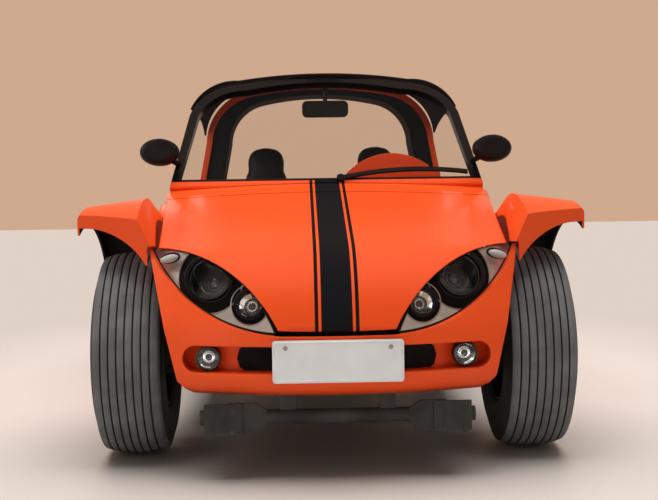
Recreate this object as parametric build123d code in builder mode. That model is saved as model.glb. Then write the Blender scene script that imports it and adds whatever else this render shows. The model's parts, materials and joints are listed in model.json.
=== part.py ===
"""Dune buggy: a glass-fibre open body on a rear-engined platform, modelled piece by piece.

Frame: +Z up, -Y towards the nose, +X to the car's own left (the driver's side).
The origin is on the ground, midway along the length, on the centre plane. Millimetres.
"""

import os
from math import atan2, cos, degrees, hypot, radians, sin, sqrt

from build123d import *

# Overall sizes
overall_length = 3400.0
fender_half_width = 855.0
wheelbase = 2100.0
front_overhang = 550.0
plate_size = (400.0, 130.0, 3.0)
plate_z = 385.0
nose_y = -overall_length / 2 + plate_size[2] + 0.3
tail_y = overall_length / 2
front_axle_y = nose_y + front_overhang
rear_axle_y = front_axle_y + wheelbase

# Wheels
tyre_radius = 350.0
rim_radius = 192.0
front_track = 1360.0
rear_track = 1340.0
front_tyre_width = 240.0
rear_tyre_width = 275.0
axle_z = tyre_radius
seat_gap = 0.3  # clearance between curved pieces that seat on each other
panel_gap = 6.0  # shut line round a lid
wall = 8.0  # glass-fibre wall
sides = (("left", 1), ("right", -1))

# Nose: a profile turned about an upright axis, so the face is bowed in plan
nose_plan_radius = 1300.0
nose_axis_y = nose_y + nose_plan_radius
nose_bottom_z = 270.0
nose_lip_z = 325.0
nose_ledge_z = 480.0
nose_top_z = 726.0
nose_ledge_back = 12.0
nose_top_back = 130.0
nose_bottom_back = 70.0
nose_top_half = 606.0
nose_bottom_half = 500.0

# Bonnet: a straight slope that rolls over a knee into a round front, crowned across its width
bonnet_front = (nose_y + 45.0, 470.0)
bonnet_knee = (nose_y + 300.0, 735.0)
cowl_rear = (nose_y + 1060.0, 948.0)
bonnet_seam_y = nose_y + 900.0
bonnet_crown = 26.0
bonnet_half = nose_top_half + 54.0
bonnet_front_half = 182.0
bonnet_side_half = nose_top_half - 28.0
bonnet_side_z = 722.0
bonnet_rear_half = nose_top_half + 16.0
bonnet_rear_z = 905.0
cowl_half = nose_top_half + 10.0

slope = atan2(cowl_rear[1] - bonnet_knee[1], cowl_rear[0] - bonnet_knee[0])
knee_to_front = (bonnet_front[0] - bonnet_knee[0], bonnet_front[1] - bonnet_knee[1])
knee_drop = knee_to_front[0] * sin(slope) - knee_to_front[1] * cos(slope)
bonnet_radius = (knee_to_front[0] ** 2 + knee_to_front[1] ** 2) / (2 * knee_drop)
bonnet_centre = (
    bonnet_knee[0] + bonnet_radius * sin(slope),
    bonnet_knee[1] - bonnet_radius * cos(slope),
)
bonnet_front_angle = degrees(
    atan2(bonnet_centre[0] - bonnet_front[0], bonnet_front[1] - bonnet_centre[1])
)


def slope_run(y):
    """Distance along the bonnet's straight slope from its knee back to the station y."""
    return (y - bonnet_knee[0]) / cos(slope)


def cross_plane(centre, angle):
    """Plane through a cross axis at (y, z), whose local y points out at angle from upright to the nose."""
    a = radians(angle)
    return Plane((0, centre[0], centre[1]), x_dir=(1, 0, 0), z_dir=(0, -cos(a), -sin(a)))


def crowned_band(half, radius, crown, thickness):
    """Closed outline of a crowned sheet seen along the car, at a radius over the plane's origin."""
    low = radius - thickness
    top = ThreePointArc((-half, radius - crown), (0, radius), (half, radius - crown))
    under = ThreePointArc((-half, low - crown), (0, low), (half, low - crown))
    Line(top @ 0, under @ 0)
    Line(top @ 1, under @ 1)


def bonnet_sheet(thickness, run_start, run_end, roll):
    """Piece of the bonnet's surface along its slope, and by roll degrees round its front."""
    knee = cross_plane(bonnet_centre, degrees(slope))
    with BuildPart() as sheet:
        with BuildSketch(knee.offset(-run_start)):
            with BuildLine():
                crowned_band(bonnet_half, bonnet_radius, bonnet_crown, thickness)
            make_face()
        extrude(amount=run_start - run_end)
        if roll > 0:
            with BuildSketch(knee):
                with BuildLine():
                    crowned_band(bonnet_half, bonnet_radius, bonnet_crown, thickness)
                make_face()
            revolve(axis=Axis((0, *bonnet_centre), (1, 0, 0)), revolution_arc=roll)
    return sheet.part


def prism(plane, outline, reach):
    """Solid of a closed outline, given as a function that draws its lines, both ways from its plane."""
    with BuildPart() as block:
        with BuildSketch(plane):
            with BuildLine():
                outline()
            make_face()
        extrude(amount=reach, both=True)
    return block.part


def save(shape, name):
    shape.label = name
    export_step(shape, f"parts/{name}.step")


os.makedirs("parts", exist_ok=True)
front_view = Plane.XZ
side_view = Plane.YZ
reach = 4000.0

# Bonnet lid, trimmed to the lamps' upper edge as seen from the front
eyelid_outer = (nose_top_half - 6.0, nose_top_z - 8.0)
eyelid_middle = (nose_top_half - 174.0, 540.0)
eyelid_tip = (175.0, 459.0)
brow_middle = (nose_top_half - 276.0, 645.0)
bonnet_front_z = bonnet_front[1] + 4.0


def bonnet_outline():
    Polyline(
        (bonnet_side_half, bonnet_side_z), (bonnet_rear_half, bonnet_rear_z), (bonnet_rear_half, 1200),
        (-bonnet_rear_half, 1200), (-bonnet_rear_half, bonnet_rear_z), (-bonnet_side_half, bonnet_side_z),
    )
    for side in (1, -1):
        ThreePointArc(
            (side * bonnet_side_half, bonnet_side_z),
            (side * brow_middle[0], brow_middle[1]),
            (side * bonnet_front_half, bonnet_front_z),
        )
    ThreePointArc(
        (bonnet_front_half, bonnet_front_z), (0, bonnet_front[1]), (-bonnet_front_half, bonnet_front_z),
    )


bonnet_roll = bonnet_front_angle - degrees(slope) + 1.0
bonnet_skin = bonnet_sheet(wall, 0, slope_run(bonnet_seam_y), bonnet_roll)
hinge_y = bonnet_front[0] + 24.0
hinge_z = bonnet_front[1] - 2.0
hinge_radius = 7.0
hinge_half = 150.0
with BuildPart() as bonnet:
    add(bonnet_skin & prism(front_view, bonnet_outline, reach))
    with BuildSketch(Plane.YZ.offset(-hinge_half)):
        with Locations((hinge_y, hinge_z)):
            Circle(hinge_radius)
        with BuildLine():
            Polyline(
                (hinge_y, hinge_z - hinge_radius), (hinge_y, hinge_z + hinge_radius),
                (bonnet_front[0] + 2, hinge_z + hinge_radius + 10),
                (bonnet_front[0] + 2, hinge_z + 4), close=True,
            )
        make_face()
    extrude(amount=2 * hinge_half)
save(bonnet.part, "bonnet")

with BuildPart() as cowl:
    add(bonnet_sheet(wall, slope_run(bonnet_seam_y + panel_gap), slope_run(cowl_rear[0]), 0))
    with BuildSketch(Plane.XY.offset(600)):
        Rectangle(2 * cowl_half, 2 * reach)
    extrude(amount=800, mode=Mode.INTERSECT)
save(cowl.part, "cowl_panel")

# Nose panel: shell bowed in plan, with a pocket for the fog lamps and a return behind each eyelid
scoop_half = 482.0
scoop_low_z = 345.0
scoop_high_z = 428.0
scoop_depth = 78.0
intake_half = 285.0
intake_low_z = 366.0
intake_high_z = 420.0
eyelid_return = 75.0


def nose_profile(outset, inset):
    """Upright profile as (radius, z): the outer line moved out by outset, the inner line in by inset."""
    line = (
        (nose_bottom_back, nose_bottom_z), (18.0, nose_bottom_z + 22), (0.0, nose_lip_z),
        (nose_ledge_back, nose_ledge_z), (nose_top_back, nose_top_z),
    )
    outer = [(nose_plan_radius - back + outset, z) for back, z in line]
    inner = [(nose_plan_radius - back - inset, z) for back, z in line]
    return outer + inner[::-1]


def nose_block(outset, inset):
    """The nose's profile, turned about its upright axis across the car's width."""
    sweep = 80.0
    half = radians(sweep / 2)
    with BuildPart() as block:
        with BuildSketch(
            Plane((0, nose_axis_y, 0), x_dir=(-sin(half), -cos(half), 0), z_dir=(-cos(half), sin(half), 0))
        ):
            Polygon(*nose_profile(outset, inset), align=None)
        revolve(axis=Axis((0, nose_axis_y, 0), (0, 0, 1)), revolution_arc=sweep)
    return block.part


def eyelid(side):
    ThreePointArc(
        (side * eyelid_outer[0], eyelid_outer[1]),
        (side * eyelid_middle[0], eyelid_middle[1]),
        (side * eyelid_tip[0], eyelid_tip[1]),
    )


def nose_outline():
    for side in (1, -1):
        eyelid(side)
        Polyline(
            (side * eyelid_outer[0], eyelid_outer[1]), (side * nose_top_half, nose_top_z),
            (side * nose_bottom_half, nose_bottom_z + 45), (side * (nose_bottom_half - 45), nose_bottom_z),
        )
    Line((eyelid_tip[0], eyelid_tip[1]), (-eyelid_tip[0], eyelid_tip[1]))
    Line((nose_bottom_half - 45, nose_bottom_z), (45 - nose_bottom_half, nose_bottom_z))


def eyelid_strip(side):
    """Front view of the strip, one wall wide, along a lamp's lower edge."""

    def draw():
        eyelid(side)
        low = ThreePointArc(
            (side * (eyelid_outer[0] + 1), eyelid_outer[1] - 14),
            (side * (eyelid_middle[0] + 5), eyelid_middle[1] - 7),
            (side * eyelid_tip[0], eyelid_tip[1] - wall),
        )
        Line((side * eyelid_outer[0], eyelid_outer[1]), low @ 0)
        Line((side * eyelid_tip[0], eyelid_tip[1]), low @ 1)

    return draw


def slot_outline(half, low, high):
    def draw():
        radius = (high - low) / 2
        for side in (1, -1):
            ThreePointArc(
                (side * (half - radius), low), (side * half, low + radius), (side * (half - radius), high),
            )
        Line((half - radius, low), (radius - half, low))
        Line((half - radius, high), (radius - half, high))

    return draw


with BuildPart() as nose:
    add(nose_block(0, wall) & prism(front_view, nose_outline, reach))
    for name, side in sides:
        add(nose_block(0, eyelid_return) & prism(front_view, eyelid_strip(side), reach))
    add(
        nose_block(-wall / 2, scoop_depth + wall)
        & prism(front_view, slot_outline(scoop_half + wall, scoop_low_z - wall, scoop_high_z + wall), reach)
    )
    add(
        nose_block(wall, scoop_depth) & prism(
            front_view, slot_outline(scoop_half, scoop_low_z, scoop_high_z), reach,
        ),
        mode=Mode.SUBTRACT,
    )
    add(
        nose_block(wall, 2 * scoop_depth)
        & prism(front_view, slot_outline(intake_half, intake_low_z, intake_high_z), reach),
        mode=Mode.SUBTRACT,
    )
    with BuildSketch(side_view.offset(-bonnet_front_half - 12)):
        with Locations((hinge_y, hinge_z)):
            Circle(hinge_y - bonnet_front[0] + wall + 3)
    extrude(amount=2 * (bonnet_front_half + 12), mode=Mode.SUBTRACT)
save(nose.part, "nose_panel")

# Head lamps: a leaning panel in each almond, with two cups, their lenses and a side lamp
lamp_gap = 0.25
lamp_panel_wall = 12.0
lamp_panel_low = (30.0, 450.0)  # (back from the nose's front, z)
lamp_panel_high = (195.0, 740.0)
cup_wall = 8.0
# Columns: x, z, lens radius, front of the lens (y), cup depth
lamps = (
    (nose_top_half - 208.0, 628.0, 70.0, nose_y + 172.0, 70.0),
    (nose_top_half - 336.0, 549.0, 40.0, nose_y + 112.0, 55.0),
)
side_lamp = (nose_top_half - 70.0, 690.0)
side_lamp_size = (30.0, 13.0)
side_lamp_front_y = nose_y + 262.0
side_lamp_depth = 60.0


def lamp_panel_block(thickness):
    """The cone that the lamp panels are cut from, bowed in plan with the nose."""
    sweep = 80.0
    half = radians(sweep / 2)
    (low_back, low_z), (high_back, high_z) = lamp_panel_low, lamp_panel_high
    low_radius = nose_plan_radius - low_back
    high_radius = nose_plan_radius - high_back
    with BuildPart() as block:
        with BuildSketch(
            Plane((0, nose_axis_y, 0), x_dir=(-sin(half), -cos(half), 0), z_dir=(-cos(half), sin(half), 0))
        ):
            Polygon(
                (low_radius, low_z), (high_radius, high_z), (high_radius - thickness, high_z),
                (low_radius - thickness, low_z), align=None,
            )
        revolve(axis=Axis((0, nose_axis_y, 0), (0, 0, 1)), revolution_arc=sweep)
    return block.part


def lamp_outline(side):
    """Front view of one almond, inside the eyelid by lamp_gap and under the bonnet's edge by panel_gap."""

    def draw():
        g, p = lamp_gap, panel_gap
        low = ThreePointArc(
            (side * (eyelid_outer[0] - g), eyelid_outer[1] + g),
            (side * (eyelid_middle[0] - g), eyelid_middle[1] + g),
            (side * (eyelid_tip[0] + 16), eyelid_tip[1] + 5),
        )
        high = ThreePointArc(
            (side * bonnet_side_half, bonnet_side_z - p),
            (side * (brow_middle[0] - p / 2), brow_middle[1] - p),
            (side * (bonnet_front_half + 9), bonnet_front_z - p),
        )
        Line(low @ 0, high @ 0)
        Line(low @ 1, high @ 1)

    return draw


for name, side in sides:
    with BuildPart() as panel:
        add(lamp_panel_block(lamp_panel_wall) & prism(front_view, lamp_outline(side), reach))
        for x, z, radius, front, depth in lamps:
            with BuildSketch(Plane.XZ.offset(-front - 8)):
                with Locations((side * x, z)):
                    Circle(radius + cup_wall)
            extrude(amount=-depth)
        for x, z, radius, front, depth in lamps:
            with BuildSketch(Plane.XZ.offset(-front + 40)):
                with Locations((side * x, z)):
                    Circle(radius + 2)
            extrude(amount=-(depth + 40 - cup_wall), mode=Mode.SUBTRACT)
        with BuildSketch(Plane.XZ.offset(-side_lamp_front_y)):
            with Locations(Location((side * side_lamp[0], side_lamp[1]), side * -12)):
                Ellipse(side_lamp_size[0] + seat_gap, side_lamp_size[1] + seat_gap)
        extrude(amount=-2 * side_lamp_depth, both=True, mode=Mode.SUBTRACT)
        add(prism(front_view, lamp_outline(side), reach), mode=Mode.INTERSECT)
        add(nose.part, mode=Mode.SUBTRACT)
    save(panel.part, f"headlamp_panel_{name}")

    with BuildPart() as lens:
        for x, z, radius, front, depth in lamps:
            with BuildSketch(Plane.XZ.offset(-front)):
                with Locations((side * x, z)):
                    Circle(radius)
            extrude(amount=-(depth - cup_wall))
        with BuildSketch(Plane.XZ.offset(-side_lamp_front_y)):
            with Locations(Location((side * side_lamp[0], side_lamp[1]), side * -12)):
                Ellipse(*side_lamp_size)
        extrude(amount=-side_lamp_depth)
        add(prism(front_view, lamp_outline(side), reach), mode=Mode.INTERSECT)
    save(lens.part, f"headlamp_lenses_{name}")

# Fog lamps in the pocket's outer ends, and the blank number plate on the lower lip
fog_x = 402.0
fog_z = 387.0
fog_radius = 39.0
fog_stand = 24.0  # front of the lamp, back from the nose's own front
with BuildPart() as fog_lamps:
    for name, side in sides:
        with BuildSketch(Plane.XZ.offset(-nose_y - 2 * fog_stand - 40)):
            with Locations((side * fog_x, fog_z)):
                Circle(fog_radius)
        extrude(amount=-120)
    add(nose_block(seat_gap - scoop_depth, 400), mode=Mode.SUBTRACT)
save(fog_lamps.part, "fog_lamps")

with BuildPart() as plate:
    with BuildSketch(Plane.XZ.offset(overall_length / 2)):
        with Locations((0, plate_z)):
            RectangleRounded(plate_size[0], plate_size[1], 10)
    extrude(amount=-plate_size[2])
save(plate.part, "number_plate")

# Front fenders: a wing turned about the axle line, closed at the front by a swept-back face
fender_front_inner_y = nose_y + 268.0
fender_front_outer_y = nose_y + 400.0
fender_rear_y = front_axle_y + 470.0
fender_lip = 48.0
fender_roll = 18.0
# Columns: x, height over the axle line at the top of the wing
front_wing = (
    (nose_top_half - 21.0, 455.0), (nose_top_half + 36.0, 538.0), (fender_half_width - fender_roll, 512.0),
)
arch_tip_z = 786.0
arch_inner = (nose_top_half + 6.0, 668.0)
arch_middle = (nose_top_half + 88.0, 750.0)
face_depth = 330.0
face_overlap = 58.0  # how far the closed face runs down beside the nose, clear of the steered tyre


def wing_form(points, edge_x, lip, inset, start, sweep, axle_y):
    """Solid under a wing's section, turned about an axle line from angle start, inset from its skin."""
    (ax, ar), (bx, br), (cx, cr) = points
    low = cr - fender_roll - lip - 3 * inset
    with BuildPart() as form:
        with BuildSketch(cross_plane((axle_y, axle_z), start)):
            with BuildLine():
                Polyline(
                    (ax + 1.6 * inset, low), (ax + 1.6 * inset, ar - inset), (bx + inset / 2, br - inset),
                    (cx, cr - inset),
                )
                ThreePointArc(
                    (cx, cr - inset),
                    (cx + 0.72 * (edge_x - inset - cx), cr - inset - 0.28 * (fender_roll - inset)),
                    (edge_x - inset, cr - fender_roll),
                )
                Polyline((edge_x - inset, cr - fender_roll), (edge_x - inset, low), (ax + 1.6 * inset, low))
            make_face()
        revolve(axis=Axis((0, axle_y, axle_z), (1, 0, 0)), revolution_arc=sweep)
    return form.part


def bonnet_side_line(out):
    """x of the bonnet's side edge, moved out, at the two heights that set it, as front-view points."""
    return (bonnet_side_half + out, bonnet_side_z), (bonnet_rear_half + out, bonnet_rear_z)


wing_sweep = 128.0
wing_skin = wing_form(front_wing, fender_half_width, fender_lip, 0, -66, wing_sweep, front_axle_y)
wing_room = wing_form(front_wing, fender_half_width, fender_lip, wall, -67, wing_sweep + 2, front_axle_y)


def fender_face_outline():
    """Front view of the closed face at a fender's front, down to the nose's own side edge."""
    ThreePointArc((fender_half_width + 20, arch_tip_z), arch_middle, arch_inner)
    Polyline(
        arch_inner, (nose_top_half + 2, nose_top_z - face_overlap), (nose_top_half + 2, 1000),
        (fender_half_width + 20, 1000), (fender_half_width + 20, arch_tip_z),
    )


def fender_plan(front_step):
    """Plan of a fender from its swept front edge, moved back by front_step, to its rear edge."""
    Polyline(
        (nose_top_half - 60, fender_front_inner_y + front_step),
        (nose_top_half, fender_front_inner_y + front_step),
        (fender_half_width + 20, fender_front_outer_y + front_step),
        (fender_half_width + 20, fender_rear_y), (nose_top_half - 60, fender_rear_y), close=True,
    )


def bonnet_clearance():
    """Front view of what the bonnet and its shut line take from the fender."""
    low, high = bonnet_side_line(panel_gap)
    lean = (high[0] - low[0]) / (high[1] - low[1])
    Polyline(
        (low[0] - 300 * lean, low[1] - 300), (high[0] + 200 * lean, high[1] + 200), (0, 1100), (0, 400),
        close=True,
    )


def edge_band(near, far):
    """Front view of a strip beside the bonnet's side edge, between two distances out from it."""
    (low_near, high_near), (low_far, high_far) = bonnet_side_line(near), bonnet_side_line(far)
    lean = (high_near[0] - low_near[0]) / (high_near[1] - low_near[1])
    Polyline(
        (low_near[0] - 300 * lean, low_near[1] - 300), (high_near[0] + 80 * lean, high_near[1] + 80),
        (high_far[0] + 80 * lean, high_far[1] + 80), (low_far[0] - 300 * lean, low_far[1] - 300), close=True,
    )


def nose_clearance():
    """Front view of the room the nose takes beside a fender."""
    Polyline(
        (0, 300), (nose_top_half + 1, 300), (nose_top_half + 1, nose_top_z + 3), (0, nose_top_z + 3),
        close=True,
    )


fender_band = prism(Plane.XY, lambda: fender_plan(0), reach)
fender_front = fender_band - prism(Plane.XY, lambda: fender_plan(12), reach)
deep_wing = wing_form(front_wing, fender_half_width, face_depth, 0, -66, wing_sweep, front_axle_y)
with BuildPart() as tyre_room:
    with BuildSketch(side_view):
        with Locations((front_axle_y, axle_z)):
            Circle(front_wing[0][1] - 2 * wall)
    extrude(amount=reach)
bonnet_room = bonnet_sheet(wall + panel_gap, 0, slope_run(bonnet_seam_y), bonnet_front_angle)
cowl_room = bonnet_sheet(wall + seat_gap, slope_run(bonnet_seam_y) - 1, slope_run(cowl_rear[0]), 0)
under_bonnet = bonnet_sheet(300, 0, slope_run(cowl_rear[0]), bonnet_front_angle) - bonnet_room - cowl_room
with BuildPart() as fender_left:
    add(wing_skin - wing_room)
    add(deep_wing & fender_front & prism(front_view, fender_face_outline, reach))
    add(fender_band, mode=Mode.INTERSECT)
    add(prism(front_view, bonnet_clearance, reach), mode=Mode.SUBTRACT)
    add((under_bonnet & fender_band & prism(front_view, lambda: edge_band(-10, 8), reach)) - tyre_room.part)
    add(prism(front_view, nose_clearance, reach), mode=Mode.SUBTRACT)
save(fender_left.part, "front_fender_left")
save(mirror(fender_left.part, about=Plane.YZ), "front_fender_right")

# Tub: box-section side walls with a cut-down entry, firewall, floor with a tunnel
side_wall_x = (560.0, 618.0)
side_front_y = fender_rear_y + seat_gap
side_rear_y = rear_axle_y - 410.0
sill_z = 280.0
entry_z = 620.0
side_top_z = 905.0
entry_front_y = front_axle_y + 745.0
entry_rear_y = rear_axle_y - 733.0


firewall_y = front_axle_y + 447.0
floor_wall = 18.0
floor_rear_y = rear_axle_y - 270.0
tunnel_half = 85.0
tunnel_top_z = 400.0
head_half = 235.0
beam_y = front_axle_y - 160.0
with BuildPart() as floor_pan:
    with BuildSketch(Plane.XY.offset(sill_z - floor_wall)):
        with BuildLine():
            Polyline(
                (side_wall_x[1], side_front_y), (side_wall_x[1], side_rear_y), (480, side_rear_y),
                (480, floor_rear_y),
                (-480, floor_rear_y), (-480, side_rear_y), (-side_wall_x[1], side_rear_y),
                (-side_wall_x[1], side_front_y),
                (-head_half, side_front_y), (-head_half, beam_y - 40), (head_half, beam_y - 40),
                (head_half, side_front_y), close=True,
            )
        make_face()
    extrude(amount=floor_wall)
    with BuildSketch(Plane.XZ.offset(-floor_rear_y)):
        with Locations((0, sill_z)):
            Rectangle(2 * tunnel_half, tunnel_top_z - sill_z, align=(Align.CENTER, Align.MIN))
    extrude(amount=floor_rear_y - firewall_y)
    fillet(floor_pan.edges().filter_by(Axis.Y).group_by(Axis.Z)[-1], 40)

boot_half = 372.0
boot_wall = 6.0
boot_floor_z = 495.0
boot_front_y = nose_y + 330.0
with BuildPart() as firewall:
    with BuildSketch(Plane.XZ.offset(-firewall_y)):
        with BuildLine():
            Polyline(
                (side_wall_x[0] - 1, sill_z + seat_gap), (side_wall_x[0] - 1, 880),
                (1 - side_wall_x[0], 880), (1 - side_wall_x[0], sill_z + seat_gap), close=True,
            )
        make_face()
    extrude(amount=-10)
    with BuildSketch(Plane.XZ.offset(-firewall_y - 20)):
        with Locations((0, sill_z)):
            Rectangle(2 * tunnel_half + 2, tunnel_top_z - sill_z + 1, align=(Align.CENTER, Align.MIN))
    extrude(amount=40, mode=Mode.SUBTRACT)
save(firewall.part, "firewall")

with BuildPart() as boot:
    with BuildSketch(Plane.XY.offset(boot_floor_z)):
        with BuildLine():
            Polyline(
                (boot_half, firewall_y - 1), (boot_half, boot_front_y + 120), (200, boot_front_y),
                (-200, boot_front_y),
                (-boot_half, boot_front_y + 120), (-boot_half, firewall_y - 1), close=True,
            )
        make_face()
    extrude(amount=145)
    offset(amount=-boot_wall, openings=boot.faces().sort_by(Axis.Z)[-1])
save(boot.part, "luggage_tub")

# Windscreen: a raked frame of one bent section, cut to stand on the cowl, with its glass
screen_base = (cowl_rear[0] - 12.0, cowl_rear[1] - 8.0)
screen_rake = radians(38)
screen_height = 566.0
screen_shoulder = (cowl_half - 60.0, 350.0)
screen_corner = (cowl_half - 276.0, 524.0)
frame_band = 36.0
frame_depth = 36.0
glass_thickness = 6.0
screen_plane = Plane(
    (0, *screen_base), x_dir=(1, 0, 0), z_dir=(0, -cos(screen_rake), sin(screen_rake))
)


def arch_line(base, shoulder, corner, crown):
    """Half of an arch from its foot to its crown and the other half: leg, round shoulder, bowed top."""
    for side in (1, -1):
        Line((side * base[0], base[1]), (side * shoulder[0], shoulder[1]))
        round_corner(side, shoulder, corner)
    ThreePointArc((corner[0], corner[1]), (0, crown), (-corner[0], corner[1]))


def round_corner(side, shoulder, corner):
    """Arc from a leg's top to the bowed top, near a quarter turn."""
    knee = (shoulder[0] - 0.12 * (shoulder[0] - corner[0]), corner[1] - 0.06 * (corner[1] - shoulder[1]))
    mid = [0.29 * (shoulder[i] + corner[i]) + 0.42 * knee[i] for i in (0, 1)]
    ThreePointArc((side * shoulder[0], shoulder[1]), (side * mid[0], mid[1]), (side * corner[0], corner[1]))


def screen_outline(inset):
    def draw():
        base = (cowl_half + 2 - inset, inset * 0.3 - 30 * (inset == 0))
        corner = (screen_corner[0] - inset / 2, screen_corner[1] - inset)
        arch_line(base, (screen_shoulder[0] - inset, screen_shoulder[1]), corner, screen_height - inset)
        Line((base[0], base[1]), (-base[0], base[1]))

    return draw


def screen_slab(inset, depth):
    with BuildPart() as slab:
        with BuildSketch(screen_plane):
            with BuildLine():
                screen_outline(inset)()
            make_face()
        extrude(amount=depth / 2, both=True)
    return slab.part


cowl_ground = bonnet_sheet(150, slope_run(bonnet_seam_y), slope_run(cowl_rear[0] + 200), 0)
with BuildPart() as screen_frame:
    add(screen_slab(0, frame_depth))
    fillet(screen_frame.edges().group_by(SortBy.LENGTH)[-1], 12)
    add(screen_slab(frame_band, 2 * frame_depth), mode=Mode.SUBTRACT)
    add(cowl_ground, mode=Mode.SUBTRACT)
save(screen_frame.part, "windscreen_frame")
save(screen_slab(frame_band + seat_gap, glass_thickness) - cowl_ground, "windscreen_glass")

# Targa hoop behind the seats with its dark lining, and the soft roof between it and the screen
hoop_front_y = rear_axle_y - 523.0
hoop_rear_y = rear_axle_y - 263.0
hoop_half = 604.0
hoop_shoulder = (560.0, 1160.0)
hoop_corner = (350.0, 1412.0)
hoop_crown_z = 1446.0
hoop_foot_z = side_top_z + 25.0 + seat_gap
hoop_band = 28.0
lining_band = 112.0


def hoop_outline(leg_inset, top_inset):
    def draw():
        base = (hoop_half - leg_inset, hoop_foot_z)
        shoulder = (hoop_shoulder[0] - leg_inset, hoop_shoulder[1])
        corner = (hoop_corner[0] - leg_inset / 2, hoop_corner[1] - top_inset)
        arch_line(base, shoulder, corner, hoop_crown_z - top_inset)
        Line((base[0], base[1]), (-base[0], base[1]))

    return draw


def hoop_ring(outer, inner, front_y, rear_y):
    with BuildPart() as ring:
        for inset, mode in ((outer, Mode.ADD), (inner, Mode.SUBTRACT)):
            with BuildSketch(front_view.offset(-rear_y)):
                with BuildLine():
                    hoop_outline(*inset)()
                make_face()
            extrude(amount=rear_y - front_y, mode=mode)
    return ring.part


save(hoop_ring((0, 0), (hoop_band, hoop_band), hoop_front_y, hoop_rear_y), "targa_hoop")
save(
    hoop_ring(
        (hoop_band + seat_gap, hoop_band + seat_gap), (lining_band, 2 * hoop_band), hoop_front_y + 14,
        hoop_rear_y - 8,
    ),
    "hoop_lining",
)

canopy_thickness = 6.0
canopy_lap = 60.0
canopy_rise = 4.0


def canopy_section(y, shoulder, corner, crown):
    """Closed band over an arch's top, as a face square to the car's length."""
    with BuildSketch(front_view.offset(-y)) as section:
        with BuildLine():
            for grow in (0.0, canopy_thickness):
                upper = (corner[0], corner[1] + grow)
                outer = (shoulder[0] + grow, shoulder[1])
                for side in (1, -1):
                    round_corner(side, outer, upper)
                ThreePointArc(upper, (0, crown + grow), (-upper[0], upper[1]))
            for side in (1, -1):
                Line(
                    (side * shoulder[0], shoulder[1]),
                    (side * (shoulder[0] + canopy_thickness), shoulder[1]),
                )
        make_face()
    return section.sketch


screen_top_y = screen_base[0] + screen_height * sin(screen_rake)
screen_top_z = screen_base[1] + screen_height * cos(screen_rake)
with BuildPart() as canopy:
    front_corner = (screen_corner[0] + 16, screen_top_z - 12)
    rear_corner = (hoop_corner[0] + 16, hoop_corner[1] + canopy_rise)
    add(
        canopy_section(
            screen_top_y - 22, (screen_shoulder[0], screen_top_z - 124), front_corner, screen_top_z + 15,
        )
    )
    add(
        canopy_section(
            hoop_front_y + canopy_lap, (hoop_shoulder[0] + 8, hoop_shoulder[1] + 40), rear_corner,
            hoop_crown_z + canopy_rise,
        )
    )
    loft()
save(canopy.part, "roof_canopy")

# Rear body: deck sloping to a rolled tail, its side walls inside the wheels, and the lid over the engine
deck_front = (hoop_rear_y + 1.0, 936.0)
deck_knee = (tail_y - 280.0, 800.0)
deck_half = 560.0
deck_radius = 268.0
deck_crown = 26.0
deck_roll = 82.0
wall_x = (486.0, 494.0)
deck_slope = atan2(deck_front[1] - deck_knee[1], deck_knee[0] - deck_front[0])
deck_centre = (deck_knee[0] - deck_radius * sin(deck_slope), deck_knee[1] - deck_radius * cos(deck_slope))
lid_half = 330.0
lid_front_y = hoop_rear_y + 240.0
lid_rear_y = deck_knee[0] + 125.0


def deck_sheet(thickness, roll):
    """Crowned deck sheet: straight from the hoop to the knee, then rolled down to the tail."""
    across = Plane((0, *deck_knee), x_dir=(1, 0, 0), z_dir=(0, -cos(deck_slope), sin(deck_slope)))
    run = hypot(deck_knee[0] - deck_front[0], deck_knee[1] - deck_front[1])
    with BuildPart() as sheet:
        with BuildSketch(across) as band:
            with BuildLine():
                for drop in (0.0, -thickness):
                    ThreePointArc(
                        (-deck_half, drop - deck_crown), (0, drop), (deck_half, drop - deck_crown),
                    )
                for side in (1, -1):
                    Line((side * deck_half, -deck_crown), (side * deck_half, -deck_crown - thickness))
            make_face()
        extrude(amount=run)
        if roll:
            revolve(band.sketch, Axis((0, *deck_centre), (-1, 0, 0)), roll)
    return sheet.part



rear_wing = ((wall_x[1] + seat_gap, 455.0), (570.0, 530.0), (fender_half_width - fender_roll - 5, 508.0))
rear_wing_end_y = rear_axle_y + 480.0


def rear_wing_form(inset):
    return wing_form(rear_wing, fender_half_width - 5, fender_lip, inset, -72, 144, rear_axle_y)


def rear_wing_plan():
    Polyline(
        (0, side_rear_y + seat_gap), (reach, side_rear_y + seat_gap), (reach, rear_wing_end_y),
        (0, rear_wing_end_y), close=True,
    )


rear_plan = prism(Plane.XY, rear_wing_plan, reach)
rear_skin = rear_wing_form(0) & rear_plan
rear_fender = rear_skin - rear_wing_form(wall)
save(rear_fender, "rear_fender_left")
save(mirror(rear_fender, about=Plane.YZ), "rear_fender_right")


def side_outline():
    top = hoop_foot_z - seat_gap
    Polyline(
        (entry_rear_y, entry_z), (entry_front_y, entry_z + 20), (side_front_y + 110, side_top_z - 30),
        (side_front_y + 60, side_top_z), (side_front_y, side_top_z - 10), (side_front_y, sill_z),
        (side_rear_y, sill_z), (hoop_rear_y, sill_z), (hoop_rear_y, top), (hoop_front_y - 10, top),
        (entry_rear_y, entry_z),
    )


def rear_arch():
    Polyline((side_rear_y, 0), (side_rear_y, arch_top_z), (reach, arch_top_z), (reach, 0), close=True)


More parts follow.
